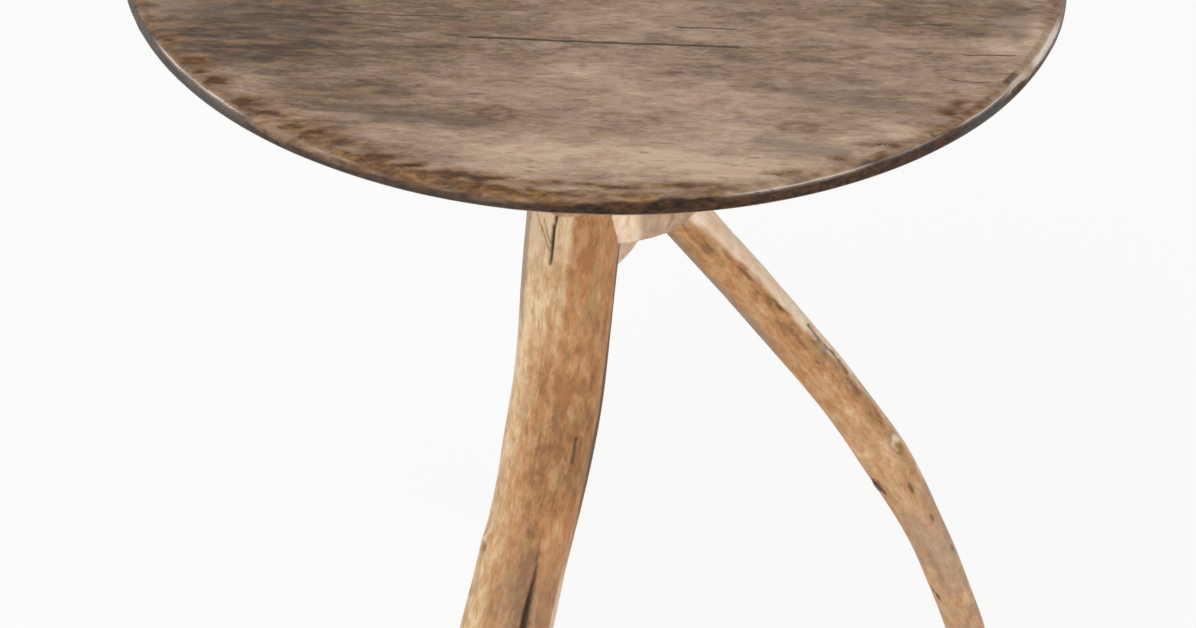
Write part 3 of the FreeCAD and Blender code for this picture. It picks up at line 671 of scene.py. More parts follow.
def hub_shades(angle, grain, ridges):
    """Marks of the trunk: a pale patch towards the front, painted light in the shade under the top, edged
    by a painted shadow line, and a broad greyed side.
    """
    shades = {mark: np.zeros_like(ridges) for mark in POLE_MARKS}
    azimuth = half_turned(np.degrees(angle + 0 * ridges)) + 5 * noise(grain * (0.05, 0.05, 0.03), 75, 2)
    # Painted highlight on a patch towards the front, with a painted shadow line along its edge where the
    # front leg's shaded outline runs
    painted_pale_patch = ease(azimuth, -88, -85) * (1 - ease(azimuth, -62, -55))
    broad = ease(azimuth, -64, -54) * (1 - ease(azimuth, -10, 30))
    shades["tone"] = 0.35 * ridges + 0.12 * (1 - painted_pale_patch)
    painted_shadow_line = 0.75 * spread(azimuth + 88, 1.6)
    shades["dark"] = np.maximum(0.5 * ease(-ridges, 0.55, 1.0) * (1 - painted_pale_patch), painted_shadow_line)
    shades["pale"] = 0.95 * painted_pale_patch + 0.35 * broad
    shades["grey"] = 0.25 * spread(azimuth + 60, 5) + 0.38 * broad
    return shades


# Boards, in millimetres from the top's middle

# The shade mark carries worn tone and painted light; the arris mark is all painted highlight
BOARD_MARKS = ("wear", "edge", "gap", "check", "gouge", "stain", "knot", "shade", "arris", "dusty", "under")
# Worn rim seen in section: how far in from the rim, and how far down
RIM_SECTION = (
    (9.0, 0.0), (6.5, 0.15), (4.6, 0.65), (3.2, 1.25), (2.2, 1.9), (1.7, 2.4), (1.3, 2.9), (0.6, 4.3),
    (0.15, 6.0), (0.0, 8.0), (0.0, 10.2), (0.8, 11.2), (3.2, 12.4), (9.0, 14.6), (16.0, 17.2), (22.5, 19.6),
    (24.5, 20.0),
)
RIM_DEPTH = RIM_SECTION[-1][1]
# How far down the arris lies, the relief dies out, and the side gives way to the underside
ARRIS_DROP = 2.4
RELIEF_DROP = 9.0
SIDE_DROP = 11.0
# How far a chip bites in and sinks, and how far down the side each of the two goes
CHIP_BITE = 1.5
CHIP_BITE_DROP = 7.0
CHIP_SINK = 0.8
CHIP_SINK_DROP = 3.0
# Radius of the circle that noise round the rim runs on, in cells of the noise
RIM_CELLS = 9
# Dark checks in the wood: the places that each runs through, and its width
TOP_CRACKS = (
    (((-75, -124.8), (-39, -125.6), (20, -126.6), (88, -126.2)), 1.9),
    (((55, -105), (71, -104.2), (86, -105)), 1.1), (((196, -93), (209, -91.4), (221, -92.6)), 1.1),
    (((232, -127.0), (248, -125.8), (258, -126.2)), 1.0), (((222, -157), (234, -158.5), (241, -158)), 0.8),
    (((-262, 107.8), (-190, 108.4)), 1.2), (((60, 108.2), (150, 107.7)), 1.3),
    (((-210, 30), (-150, 27), (-110, 29)), 0.9), (((-165, -99), (-120, -101), (-84, -100)), 0.9),
    (((40, 196), (120, 193)), 0.9),
)
# Brown gouges just inside the rim: middle, half the length and half the width
TOP_GOUGES = (
    ((-262, -140), 6, 3.2), ((-246, -165), 8, 4.2), ((-240, -176), 6, 3.0), ((-229, -187), 9, 4.4),
    ((-207, -209), 12, 4.4), ((-190, -222), 9, 3.4), ((-179, -233), 12, 4.4), ((-162, -242), 14, 4.6),
    ((-148, -252), 11, 3.6), ((-127, -266), 13, 4.4), ((-106, -274), 9, 3.0), ((-86, -281), 16, 3.8),
    ((-58, -285), 12, 2.6), ((-30, -287), 15, 2.2), ((12, -289), 12, 2.0), ((60, -286), 15, 2.4),
    ((118, -268), 12, 2.6), ((150, -252), 9, 2.4), ((176, -234), 12, 2.4), ((222, -187), 3.5, 4.0),
    ((216, -196), 4, 2.4), ((262, 118), 9, 3.4), ((236, 166), 10, 3.4), ((-120, 262), 12, 3.6),
    ((-160, 242), 9, 3.2), ((40, 288), 13, 3.2),
)
# Knots: middle and size
TOP_KNOTS = (
    ((227, -188), 9.0), ((-58, -213), 8.0), ((125, -217), 7.0), ((120, 60), 10.0), ((-160, 150), 9.0),
)
# Grey stains along the grain: places and half the width
TOP_STAINS = (
    (((-278, -94), (-230, -106), (-181, -125)), 17.0), (((-150, -216), (-100, -222), (-54, -227)), 9.0),
    (((256, -50), (264, -84), (264, -112)), 11.0), (((120, -176), (180, -186)), 12.0),
    (((102, -236), (146, -241)), 10.0), (((-60, 190), (40, 205)), 14.0),
)
# Where years of use darkened or rubbed the wood, and painted light where the front of the top catches a
# reflection: middle, half the length, half the width and tone
TOP_WEAR_AND_PAINTED_LIGHT = (
    ((-190, -128), 100, 46, -0.36), ((-230, -50), 90, 60, -0.22), ((195, -82), 60, 24, -0.18),
    ((0, -188), 92, 26, 0.12), ((40, -254), 120, 28, 0.40), ((-60, -150), 110, 12, -0.12),
    ((-100, -215), 75, 10, -0.24), ((160, -196), 60, 14, -0.10), ((-220, -190), 55, 30, -0.04),
    ((180, -215), 60, 26, 0.12), ((282, -108), 14, 30, 0.55), ((-130, -190), 60, 20, -0.10),
    ((-90, -248), 90, 12, 0.04), ((90, 40), 120, 40, 0.08), ((250, -66), 34, 26, -0.17),
    ((-127, -100), 46, 22, -0.13), ((-47, -240), 34, 20, -0.15), ((131, -228), 34, 18, -0.20),
    ((192, -216), 30, 16, 0.32), ((5, -168), 40, 14, 0.10), ((243, -167), 26, 18, 0.10),
    ((172, -122), 30, 14, -0.08), ((95, -232), 26, 14, -0.06), ((131, -170), 34, 30, 0.07),
    ((116, -266), 46, 14, 0.20), ((-55, -96), 40, 16, 0.08), ((-130, 90), 90, 34, -0.12),
    ((150, 170), 80, 30, -0.16), ((-60, 230), 110, 24, 0.10),
)
# Stretches of the rim: bearing and half the stretch, both in degrees, and strength
# Rubbed down to oiled brown wood
RIM_RUBS = (
    (-101, 24, 1.0), (-128, 10, 0.6), (-84, 12, 0.6), (-58, 14, 0.40), (-41, 10, 0.70), (-158, 18, 0.5),
    (-15, 8, 0.6), (28, 16, 0.8), (70, 14, 0.5), (112, 20, 0.9), (160, 16, 0.6),
)
# Painted highlight along the arris, where it catches the light
RIM_PAINTED_GLINTS = (
    (-143, 9, 1.0), (-122, 5, 0.3), (-65, 9, 0.75), (-51, 6, 0.3), (-38, 5, 0.8), (-24, 8, 1.0),
    (50, 16, 0.8), (140, 14, 0.7),
)
# Side gone grey
RIM_DUST = ((-152, 22, 1.0), (-114, 20, 0.35), (-38, 5, 0.9), (60, 30, 0.7))
# Painted highlight over the whole side, where it catches the light
RIM_PAINTED_SHEEN = ((-24, 9, 1.0), (40, 10, 0.6))
# Chips knocked out of the arris
RIM_CHIPS = ((-30.5, 1.6, 1.0), (-103, 1.2, 0.6), (75, 2.0, 1.0), (150, 1.5, 0.8))
# How far down the rim its dark lower edge starts, by bearing
DARK_EDGE = (
    (-180, 4.5), (-150, 6.0), (-128, 5.4), (-112, 5.6), (-101, 5.6), (-92, 3.6), (-84, 1.6), (-74, 2.0),
    (-64, 1.6), (-50, 1.0), (-34, 1.8), (-28, 5.4), (-18, 5.8), (0, 4.0), (90, 4.2), (180, 4.5),
)


def disc_grid(steps):
    """Even grid over a unit disc, from a square grid, and the places of its rim points in order."""
    line = np.linspace(-1, 1, steps)
    a, b = np.meshgrid(line, line, indexing="ij")
    wide = np.abs(a) >= np.abs(b)
    with np.errstate(divide="ignore", invalid="ignore"):
        turn = np.where(wide, math.pi / 4 * b / a, math.pi / 2 - math.pi / 4 * a / b)
    grid = spokes(np.where(wide, a, b), np.nan_to_num(turn))[..., :2]
    index = np.arange(steps * steps).reshape(steps, steps)
    sides = (index[-1], index[::-1, -1], index[0, ::-1], index[:, 0])
    return grid, index, np.concatenate([side[:-1] for side in sides])


def along_rim(bearing, stretches):
    """Strength round the rim of the stretches that a bearing lies in."""
    total = np.zeros_like(bearing)
    for middle, half, strength in stretches:
        away = np.abs(half_turned(bearing - middle))
        total = np.maximum(total, strength * (1 - ease(away, half * 0.6, half * 1.3)))
    return total


def top_relief(spot, look):
    """Lift and marks of the boards' surface at places measured from the middle of the top."""
    x, y = spot[..., 0], spot[..., 1]

    def grained(along, across, seed, octaves):
        """Noise with so many cells to a millimetre along and across the grain."""
        return noise(np.stack([x * along, y * across, 0 * x], axis=-1), seed, octaves)

    def near_spot(middle, length, width):
        """Distance from a spot, one at its half length and half width."""
        return np.hypot((x - middle[0]) / length, (y - middle[1]) / width)

    marks = {mark: np.zeros(x.shape) for mark in BOARD_MARKS}
    lift = look.relief / MM * (0.45 * grained(0.014, 0.26, 31, 3) + 0.9 * grained(0.006, 0.02, 33, 2))
    inset = TOP_RADIUS - np.hypot(x, y)
    rub = along_rim(np.degrees(np.arctan2(y, x)), RIM_RUBS)
    ragged = inset + 5.0 * grained(0.035, 0.08, 35, 3)
    reach = look.wear_width / MM * (0.35 + 0.65 * rub)
    marks["wear"] = (0.25 + 0.75 * rub) * (1 - ease(ragged, 0.35 * reach, reach))

    marks["gap"] += 1.0
    nearest = np.full(x.shape, np.inf)
    waver = 0.5 * grained(0.05, 0, 37, 2)
    for places, width in TOP_CRACKS:
        gap = line_distance(x, y, places)
        line = (y - np.interp(x, *zip(*places)) + waver) / (width * 4)
        marks["gap"] = np.where(gap < nearest, np.clip(line, -1, 1), marks["gap"])
        nearest = np.minimum(nearest, gap)
        strengthen(marks, "check", spread(gap, 5.0))
        lift -= 0.5 * spread(gap, 1.8)

    torn = 0.75 * grained(0.11, 0.30, 47, 3)
    for middle, length, width in TOP_GOUGES:
        near = near_spot(middle, length, width) + torn
        strengthen(marks, "gouge", 1 - ease(near, 0.35, 1.15))
        strengthen(marks, "wear", 0.8 * (1 - ease(near, 1.0, 2.4)))
    gnawed = ease(grained(0.09, 0.24, 55, 3), 0.20, 0.75) * ease(inset, 2, 5) * (1 - ease(ragged, 9, 16))
    strengthen(marks, "gouge", 0.8 * rub * gnawed)
    lift -= 0.5 * marks["gouge"]

    swirl = 2.5 * grained(0.09, 0.09, 49, 2)
    for middle, size in TOP_KNOTS:
        near = near_spot(middle, 1.7, 1.0) + swirl
        ring = 0.9 * spread(near - size * 0.7, size * 0.26)
        strengthen(marks, "knot", ring + 0.7 * spread(near, size * 0.24))
        lift -= 0.4 * spread(near, size * 0.4)

    drift = 7 * grained(0.02, 0.09, 39, 3)
    for places, width in TOP_STAINS:
        strengthen(marks, "stain", 1 - ease(line_distance(x, y, places) + drift, 0.1 * width, width))
    x, y = x + 22 * grained(0.02, 0.06, 43, 3), y + 9 * grained(0.015, 0.07, 45, 3)
    # Tone spots: wear, and painted light on the front of the top
    for middle, length, width, tone in TOP_WEAR_AND_PAINTED_LIGHT:
        marks["shade"] += tone * spread(near_spot(middle, length, width), 1.0)
    return lift, marks


def rim_ring(heading, inset, drop, rim_lift, look):
    """Points and marks of one ring of the worn rim, a way in from the rim and down from the top."""
    bearing = np.degrees(np.arctan2(heading[:, 1], heading[:, 0]))
    rounder = np.column_stack([heading * RIM_CELLS, 0 * bearing])
    chips = np.maximum(ease(noise(rounder * 1.6, 51, 3), 0.62, 1.05), along_rim(bearing, RIM_CHIPS))
    wander = 0.35 + 0.5 * noise(rounder * 0.5, 57, 2) ** 2
    worn = 0.3 * np.abs(noise(rounder * 2 + (0, 0, drop * 0.15), 53, 2))
    on_side = 0 < drop < SIDE_DROP
    bite = CHIP_BITE * chips * (drop < CHIP_BITE_DROP) + wander + worn if on_side else 0.5 * wander
    here = heading * (TOP_RADIUS - inset - bite)[:, None]
    fade = 1 - min(drop / RELIEF_DROP, 1.0)
    sink = CHIP_SINK * chips * (drop < CHIP_SINK_DROP)
    depth = np.maximum(rim_lift * fade - drop - sink, -RIM_DEPTH)

    marks = top_relief(here, look)[1]
    rub = along_rim(bearing, RIM_RUBS)
    scored = ease(noise(rounder * (3.2, 3.2, 1) + (0, 0, drop * 0.5), 87, 3), -0.25, 0.55)
    gouged = np.maximum(0.8 * chips, 0.65 * rub * scored) * (drop < 8)
    marks["wear"] = np.maximum(0.45, rub)
    marks["gouge"] = np.maximum(marks["gouge"] * (drop < 1), gouged)
    start = np.interp(bearing, *zip(*DARK_EDGE)) + 1.0 * noise(rounder * 2.2, 61, 3)
    marks["edge"] = ease(drop, start - 0.4, start + 1.2) * (drop < SIDE_DROP)
    marks["under"] = np.full(len(heading), float(drop > SIDE_DROP))
    marks["dusty"] = along_rim(bearing, RIM_DUST) * ease(drop, 1.5, 3.0) * (drop < SIDE_DROP)
    # Painted highlight: pale glints along the arris, and over the side where it catches the light
    painted_glint = spread(drop - ARRIS_DROP, 0.42) * along_rim(bearing, RIM_PAINTED_GLINTS)
    bare = along_rim(bearing, RIM_PAINTED_SHEEN) * 0.9 * (1 - ease(abs(drop - 3.6), 1.5, 2.6))
    marks["arris"] = np.maximum(painted_glint, bare) * ease(noise(rounder * 0.9, 59, 2), -0.9, -0.2)
    return np.column_stack([here, depth]), marks


def round_top(look):
    """The whole worn top as one closed mesh."""
    steps = int(math.sqrt(math.pi) * TOP_RADIUS / (look.cell / MM))
    grid, index, rim = disc_grid(steps)
    spot = (grid * (TOP_RADIUS - RIM_SECTION[0][0])).reshape(-1, 2)
    lift, marks = top_relief(spot, look)
    lift -= max(lift.max(), 0)
    heading = spot[rim] / np.linalg.norm(spot[rim], axis=1)[:, None]
    parts = [(np.column_stack([spot, lift]), marks)]
    parts += [rim_ring(heading, inset, drop, lift[rim], look) for inset, drop in RIM_SECTION[1:]]
    points = np.vstack([part[0] for part in parts]) + TOP_MIDDLE
    gathered = {mark: np.concatenate([part[1][mark] for part in parts]) for mark in BOARD_MARKS}
    gathered["grain"] = (points - (TOP_MIDDLE[0], 0, TOP_MIDDLE[2])) * MM
    faces = np.stack([index[:-1, :-1], index[1:, :-1], index[1:, 1:], index[:-1, 1:]], axis=-1)
    rings = np.vstack([rim, np.arange(steps * steps, len(points)).reshape(-1, len(rim))])
    faces = faces.reshape(-1, 4).tolist() + ring_faces(rings) + [rings[-1, ::-1].tolist()]
    return new_piece("round_top", points, faces, gathered)


def board_piece(top, name, low_y, high_y):
    """Closed board cut from the round top between two joints."""
    cut = bmesh.new()
    cut.from_mesh(top.data)
    for place, side in ((low_y, -1), (high_y, 1)):
        if place is None:
            continue
        everything = cut.verts[:] + cut.edges[:] + cut.faces[:]
        found = bmesh.ops.bisect_plane(cut, geom=everything, plane_co=(0, place * MM, 0),
                                       plane_no=(0, side, 0), clear_outer=True)
        edges = [e for e in found["geom_cut"] if isinstance(e, bmesh.types.BMEdge)]
        bmesh.ops.edgeloop_fill(cut, edges=edges)
    mesh = bpy.data.meshes.new(name)
    cut.to_mesh(mesh)
    cut.free()
    return linked(name, mesh)


# Finishes

# Settings of the nodes that come up again and again
PLUS = {"operation": "ADD"}
TIMES = {"operation": "MULTIPLY"}
SMOOTH = {"interpolation_type": "SMOOTHSTEP"}
# How far a diagonal wave texture turns over a metre along one side, in radians, at a scale of one
WAVE_TURN = 10.0


def add(tree, kind, settings=None, inputs=None, take=None):
    """Adds a shader node with its settings, sets or links its inputs, and gives one of its outputs.

    Inputs go by name, or in order. A text among them, or among a ramp's stops, is an sRGB hex colour.
    """
    made = tree.nodes.new("ShaderNode" + kind)
    for name, value in (settings or {}).items():
        if name == "stops":
            ramp = made.color_ramp
            while len(ramp.elements) < len(value):
                ramp.elements.new(1.0)
            for stop, (position, colour) in zip(ramp.elements, value):
                stop.position = position
                stop.color = linear(colour) if isinstance(colour, str) else colour
        else:
            setattr(made, name, value)
    pairs = inputs.items() if isinstance(inputs, dict) else enumerate(inputs or ())
    for key, value in pairs:
        named = [socket for socket in made.inputs if socket.name == key and socket.enabled]
        socket = named[0] if named else made.inputs[key]
        if isinstance(value, bpy.types.NodeSocket):
            tree.links.new(value, socket)
        else:
            socket.default_value = linear(value) if isinstance(value, str) else value
    return next((socket for socket in made.outputs if socket.enabled and take in (None, socket.name)), None)


def new_finish(name):
    """Empty material with its node tree."""
    material = bpy.data.materials.new(name)
    material.use_nodes = True
    material.node_tree.nodes.clear()
    return material, material.node_tree


def close_finish(tree, colour, roughness, height, bump_depth, bump_strength, specular, metallic=0.0):
    """Bump, main shader and output of a material, with the bump's depth in millimetres."""
    bump = {"Height": height, "Distance": bump_depth * MM, "Strength": bump_strength}
    inputs = {"Base Color": colour, "Roughness": roughness, "Normal": add(tree, "Bump", None, bump),
              "Specular IOR Level": specular, "Metallic": metallic}
    add(tree, "OutputMaterial", None, {"Surface": add(tree, "BsdfPrincipled", None, inputs)})


def patterns(tree, place, wanted):
    """Noise patterns by name, from cell size in millimetres, detail, roughness and distortion."""
    made = {}
    for name, (size, detail, roughness, distortion) in wanted.items():
        cells = add(tree, "VectorMath", {"operation": "DIVIDE"}, (place, [side * MM for side in size]))
        made[name] = add(tree, "TexNoise", None, {"Vector": cells, "Scale": 1.0, "Detail": detail,
                                                  "Roughness": roughness, "Distortion": distortion})
    return made


def sum_of(tree, base, pattern, **weights):
    """A number plus named patterns, each about its middle of a half, times its weight."""
    total = base
    for name, weight in weights.items():
        part = add(tree, "Math", {"operation": "MULTIPLY_ADD"}, (pattern[name], weight, -weight / 2))
        total = add(tree, "Math", PLUS, (total, part))
    return total


def layered(tree, colour, layers):
    """Lays colours over a colour, each by a share, the span that eases it if any, and a strength."""
    for share, span, strength, over in layers:
        if span:
            share = add(tree, "MapRange", SMOOTH, {"Value": share, "From Min": span[0], "From Max": span[1],
                                                   "To Max": strength})
        else:
            share = add(tree, "Math", TIMES, (share, strength))
        colour = add(tree, "Mix", {"data_type": "RGBA", "clamp_factor": True},
                     {"Factor": share, "A": colour, "B": over})
    return colour


def weathered_hickory_boards(look):
    """Hickory boards, planed, oiled and rubbed for years."""
    # To the eye: brown and pink dashes along the grain, grey stains, a dark oily rim with painted
    # highlights along its arrises, and almost no gloss, because the oil has dried out
    material, tree = new_finish("weathered hickory boards, planed and oiled")
    grain = add(tree, "Attribute", {"attribute_name": "grain"}, None, "Vector")
    mark = {name: add(tree, "Attribute", {"attribute_name": name}, None, "Fac") for name in BOARD_MARKS}
    streak = look.grain / MM
    # Pores are under half a millimetre wide: hair and dashes draw them as coarse as they need to show
    pattern = patterns(tree, grain, {
        "lens": ((streak * 3.4, streak, streak), 3.0, 0.6, 0.4), "hair": ((3.6, 1.6, 1.6), 2.0, 0.6, 0.0),
        "blotch": ((28, 9, 9), 3.0, 0.62, 0.4), "cloud": ((110, 45, 45), 2.0, 0.55, 0.6),
        "pink": ((30, 8, 8), 3.0, 0.6, 0.4), "olive": ((26, 6, 6), 3.0, 0.6, 0.4),
        "crumb": ((5.5, 2.6, 2.6), 3.0, 0.6, 0.0), "rubbing": ((18, 6, 6), 3.0, 0.6, 0.5),
        "dashes": ((13, 1.8, 1.8), 1.0, 0.4, 0.0),
    })
    tone = sum_of(tree, 0.53, pattern, lens=0.55, hair=0.34, blotch=0.85, cloud=0.90)
    tone = add(tree, "Math", PLUS, (tone, mark["shade"]))
    bare = add(tree, "ValToRGB", {"stops": ((0.05, look.dark), (0.32, look.brown), (0.55, look.tan),
                                            (0.95, look.pale))}, {"Fac": tone})

    blot = add(tree, "MapRange", SMOOTH, {"Value": pattern["blotch"], "From Min": 0.56, "From Max": 0.70,
                                          "To Max": 0.15})
    stained = add(tree, "Math", PLUS, (blot, mark["stain"]))
    knotted = add(tree, "MapRange", None, {"Value": pattern["lens"], "From Min": 0.3, "From Max": 0.7,
                                           "To Min": 0.9, "To Max": 0.45})
    knotted = add(tree, "Math", TIMES, (mark["knot"], knotted))
    rubbing = add(tree, "MapRange", SMOOTH, {"Value": pattern["rubbing"], "From Min": 0.30,
                                             "From Max": 0.60, "To Min": 0.45, "To Max": 0.95})
    worn = add(tree, "Math", TIMES, (mark["wear"], rubbing))
    worn_tone = sum_of(tree, 0.5, pattern, blotch=1.0, lens=0.8, crumb=1.3)
    rubbed = add(tree, "ValToRGB", {"stops": ((0.15, "3c2614"), (0.42, look.worn), (0.80, "946c3e"))},
                 {"Fac": worn_tone})
    handled = add(tree, "ValToRGB", {"stops": ((0.25, "1a110b"), (0.75, look.edge))}, {"Fac": worn_tone})
    gouged = add(tree, "ValToRGB", {"stops": ((0.3, "331d0c"), (0.8, "69401f"))}, {"Fac": pattern["lens"]})
    sawn = add(tree, "ValToRGB", {"stops": ((0.3, "7d634c"), (0.75, "a58a6d"))}, {"Fac": pattern["lens"]})

    # A crack's mark changes sign across it, so that its middle stays sharp on a coarse mesh
    gap = add(tree, "Math", {"operation": "ABSOLUTE"}, (mark["gap"],))
    line = add(tree, "MapRange", SMOOTH, {"Value": gap, "From Min": 0.22, "From Max": 0.08})
    near = add(tree, "MapRange", SMOOTH, {"Value": mark["check"], "From Min": 0.45, "From Max": 0.85})
    line = add(tree, "Math", TIMES, (line, near))
    pattern["pores"] = add(tree, "MapRange", SMOOTH, {"Value": pattern["dashes"], "From Min": 0.665,
                                                      "From Max": 0.74})
    dark = add(tree, "Math", {"operation": "MULTIPLY_ADD", "use_clamp": True},
               (pattern["pores"], 0.5, line))

    # The arris layer is painted highlight, pale glints along the arris and over the side
    colour = layered(tree, bare, (
        (pattern["pink"], (0.50, 0.66), 0.28, "a87c6a"), (pattern["olive"], (0.50, 0.66), 0.38, "9a8058"),
        (stained, None, 0.42, look.stain), (knotted, None, 1.0, "6a4530"), (worn, None, 1.0, rubbed),
        (mark["edge"], None, 1.0, handled), (mark["dusty"], None, 0.8, "484848"),
        (mark["gouge"], None, 0.9, gouged), (mark["arris"], None, 0.9, "e4d5c9"),
        (mark["under"], None, 1.0, sawn), (dark, None, 0.85, "35271d"),
    ))
    rough = add(tree, "MapRange", None, {"Value": pattern["blotch"], "From Min": 0.3, "From Max": 0.7,
                                         "To Min": 0.45, "To Max": 0.65})
    height = sum_of(tree, 0.5, pattern, hair=0.4, lens=0.6, pores=-0.6)
    close_finish(tree, colour, rough, height, 0.5, 0.6, 0.20)
    return material


def peeled_hickory_pole(name, look, shift):
    """Hickory grown crooked, peeled by hand and left to dry."""
    # To the eye: long fibres and small light and dark flecks, thin brown films where inner bark stayed,
    # near-black cracks, painted highlights and shade along edges, flanks and creases, and the soft sheen of
    # bare wood
    material, tree = new_finish(name)
    grain = add(tree, "Attribute", {"attribute_name": "grain"}, None, "Vector")
    mark = {name: add(tree, "Attribute", {"attribute_name": name}, None, "Fac") for name in POLE_MARKS}
    fibre, mottle = look.fibre / MM, look.mottle / MM
    # Fibres are hundredths of a millimetre wide: fine draws them as coarse as they need to show
    pattern = patterns(tree, grain, {
        "fibre": ((fibre, fibre, fibre * 9), 3.0, 0.6, 0.3), "fine": ((1.2, 1.2, 4.0), 2.0, 0.6, 0.0),
        "mottle": ((mottle, mottle, mottle * 1.8), 3.0, 0.65, 0.2), "patch": ((18, 18, 55), 3.0, 0.6, 0.5),
        "olive": ((8, 8, 22), 3.0, 0.6, 0.2), "peach": ((9.5, 9.5, 24), 3.0, 0.6, 0.2),
    })
    tone = sum_of(tree, 0.42 + shift, pattern, fibre=0.50, fine=0.35, mottle=0.95, patch=1.0)
    tone = add(tree, "Math", PLUS, (tone, mark["tone"]))
    bare = add(tree, "ValToRGB", {"stops": ((0.10, look.pale), (0.42, look.tan), (0.68, look.orange),
                                            (1.0, look.brown))}, {"Fac": tone})
    warmth = add(tree, "MapRange", SMOOTH, {"Value": pattern["patch"], "From Min": 0.35, "From Max": 0.65})
    warmed = add(tree, "Math", TIMES, (mark["warm"], warmth))
    creamy = add(tree, "ValToRGB", {"stops": ((0.30, "fbe9d2"), (0.75, "e6c09c"))},
                 {"Fac": pattern["mottle"]})
    film = add(tree, "MapRange", SMOOTH, {"Value": pattern["mottle"], "From Min": 0.62, "From Max": 0.74,
                                          "To Max": 0.18})
    film = add(tree, "Math", {"operation": "ADD", "use_clamp": True}, (film, mark["bark"]))
    barked = add(tree, "ValToRGB", {"stops": ((0.35, "5a3f2a"), (0.6, look.bark), (0.8, "a07a50"))},
                 {"Fac": pattern["fibre"]})
    # The pale, grey and dark layers carry painted highlights and shade as well as their own colour
    colour = layered(tree, bare, (
        (warmed, None, 0.5, "bd7c4a"), (pattern["olive"], (0.52, 0.66), 0.42, "a08a5c"),
        (pattern["peach"], (0.54, 0.68), 0.38, "d9a883"), (mark["pale"], None, 0.92, creamy),
        (film, None, 1.0, barked), (mark["grey"], None, 0.75, "8b7c72"),
        (mark["dark"], None, 1.0, look.crack),
    ))
    rough = add(tree, "MapRange", None, {"Value": pattern["mottle"], "To Min": 0.45, "To Max": 0.70})
    height = sum_of(tree, 0.5, pattern, fine=0.3, fibre=0.6, mottle=0.5)
    close_finish(tree, colour, rough, height, 0.6, 0.6, 0.25)
    return material


def sawn_hickory(name, look, size):
    """Hickory sawn and scraped, with the size of its streaks in millimetres."""
    # To the eye: straight matt grain with faint saw marks across it. Real marks are about 3 mm apart:
    # these are drawn coarser, so that they show
    material, tree = new_finish(name)
    place = add(tree, "TexCoord", None, None, "Object")
    pattern = patterns(tree, place, {"streak": (size, 3.0, 0.6, 0.3),
                                     "hair": ([side / 3 for side in size], 2.0, 0.5, 0.0)})
    tone = sum_of(tree, 0.5, pattern, streak=1.3, hair=0.6)
    colour = add(tree, "ValToRGB", {"stops": ((0.2, look.dark_wood), (0.7, look.wood))}, {"Fac": tone})
    scale = math.tau / (WAVE_TURN * look.saw_mark)
    pattern["saw"] = add(tree, "TexWave", {"wave_type": "BANDS", "bands_direction": "DIAGONAL"},
                         {"Vector": place, "Scale": scale, "Distortion": 1.5, "Detail": 1.0})
    height = sum_of(tree, 0.5, pattern, streak=0.5, saw=0.25)
    close_finish(tree, colour, 0.68, height, 0.5, 0.5, 0.35)
    return material


def shaved_hickory(look):
    """Dry hickory shaved with a knife."""
    # To the eye: pale and matt, with small flecks where the knife left facets
    material, tree = new_finish("hickory pegs, shaved by knife")
    place = add(tree, "TexCoord", None, None, "Object")
    pattern = patterns(tree, place, {"fleck": ((1.5, 1.5, 1.5), 3.0, 0.6, 0.0)})
    tone = sum_of(tree, 0.5, pattern, fleck=1.2)
    colour = add(tree, "ValToRGB", {"stops": ((0.2, "8c6a46"), (0.75, look.peg))}, {"Fac": tone})
    close_finish(tree, colour, 0.6, pattern["fleck"], 0.3, 0.5, 0.35)
    return material


def dulled_steel(look):
    """Plain steel screws gone dull."""
    # To the eye: grey with a brown bloom, so the lights smear on them
    material, tree = new_finish("steel screws, dulled by age")
    place = add(tree, "TexCoord", None, None, "Object")
    bloom = patterns(tree, place, {"bloom": ((2.5, 2.5, 2.5), 3.0, 0.6, 0.0)})["bloom"]
    colour = add(tree, "ValToRGB", {"stops": ((0.35, "4a3a2e"), (0.6, look.steel))}, {"Fac": bloom})
    rough = add(tree, "MapRange", None, {"Value": bloom, "To Min": 0.65, "To Max": 0.38})
    close_finish(tree, colour, rough, bloom, 0.2, 0.4, 0.5, metallic=0.9)
    return material


def direct_share(tree):
    """One for rays from the camera, a mirror or clear glass, and nothing for the rest."""
    total = 0.0
    for kind in ("Is Camera Ray", "Is Glossy Ray", "Is Transmission Ray"):
        ray = add(tree, "LightPath", None, None, kind)
        total = add(tree, "Math", {"operation": "MAXIMUM"}, (ray, total))
    return total


def painted_floor(look):
    """Studio floor painted matt white."""
    # To the eye: nearly white, with the table's own shadow left in it
    material, tree = new_finish("painted studio floor, matt white")
    diffuse = add(tree, "BsdfDiffuse", None, {"Color": look.floor, "Roughness": 0.6})
    white = add(tree, "Emission", None, {"Color": (1, 1, 1, 1), "Strength": 1.0})
    share = add(tree, "Math", TIMES, (direct_share(tree), 0.86))
    add(tree, "OutputMaterial", None, {"Surface": add(tree, "MixShader", None, (share, diffuse, white))})
    return material


# Stage

# Lamps: side of the square, place and aim, in metres
LAMPS = {
    "key": (2.2, (-1.3, -0.9, 2.7), (0, 0, 0.5)),
    "front": (2.4, (-1.7, -2.7, 0.9), (0, 0, 0.35)),
    "fill": (2.0, (2.4, -1.4, 1.1), (0, 0, 0.4)),
}


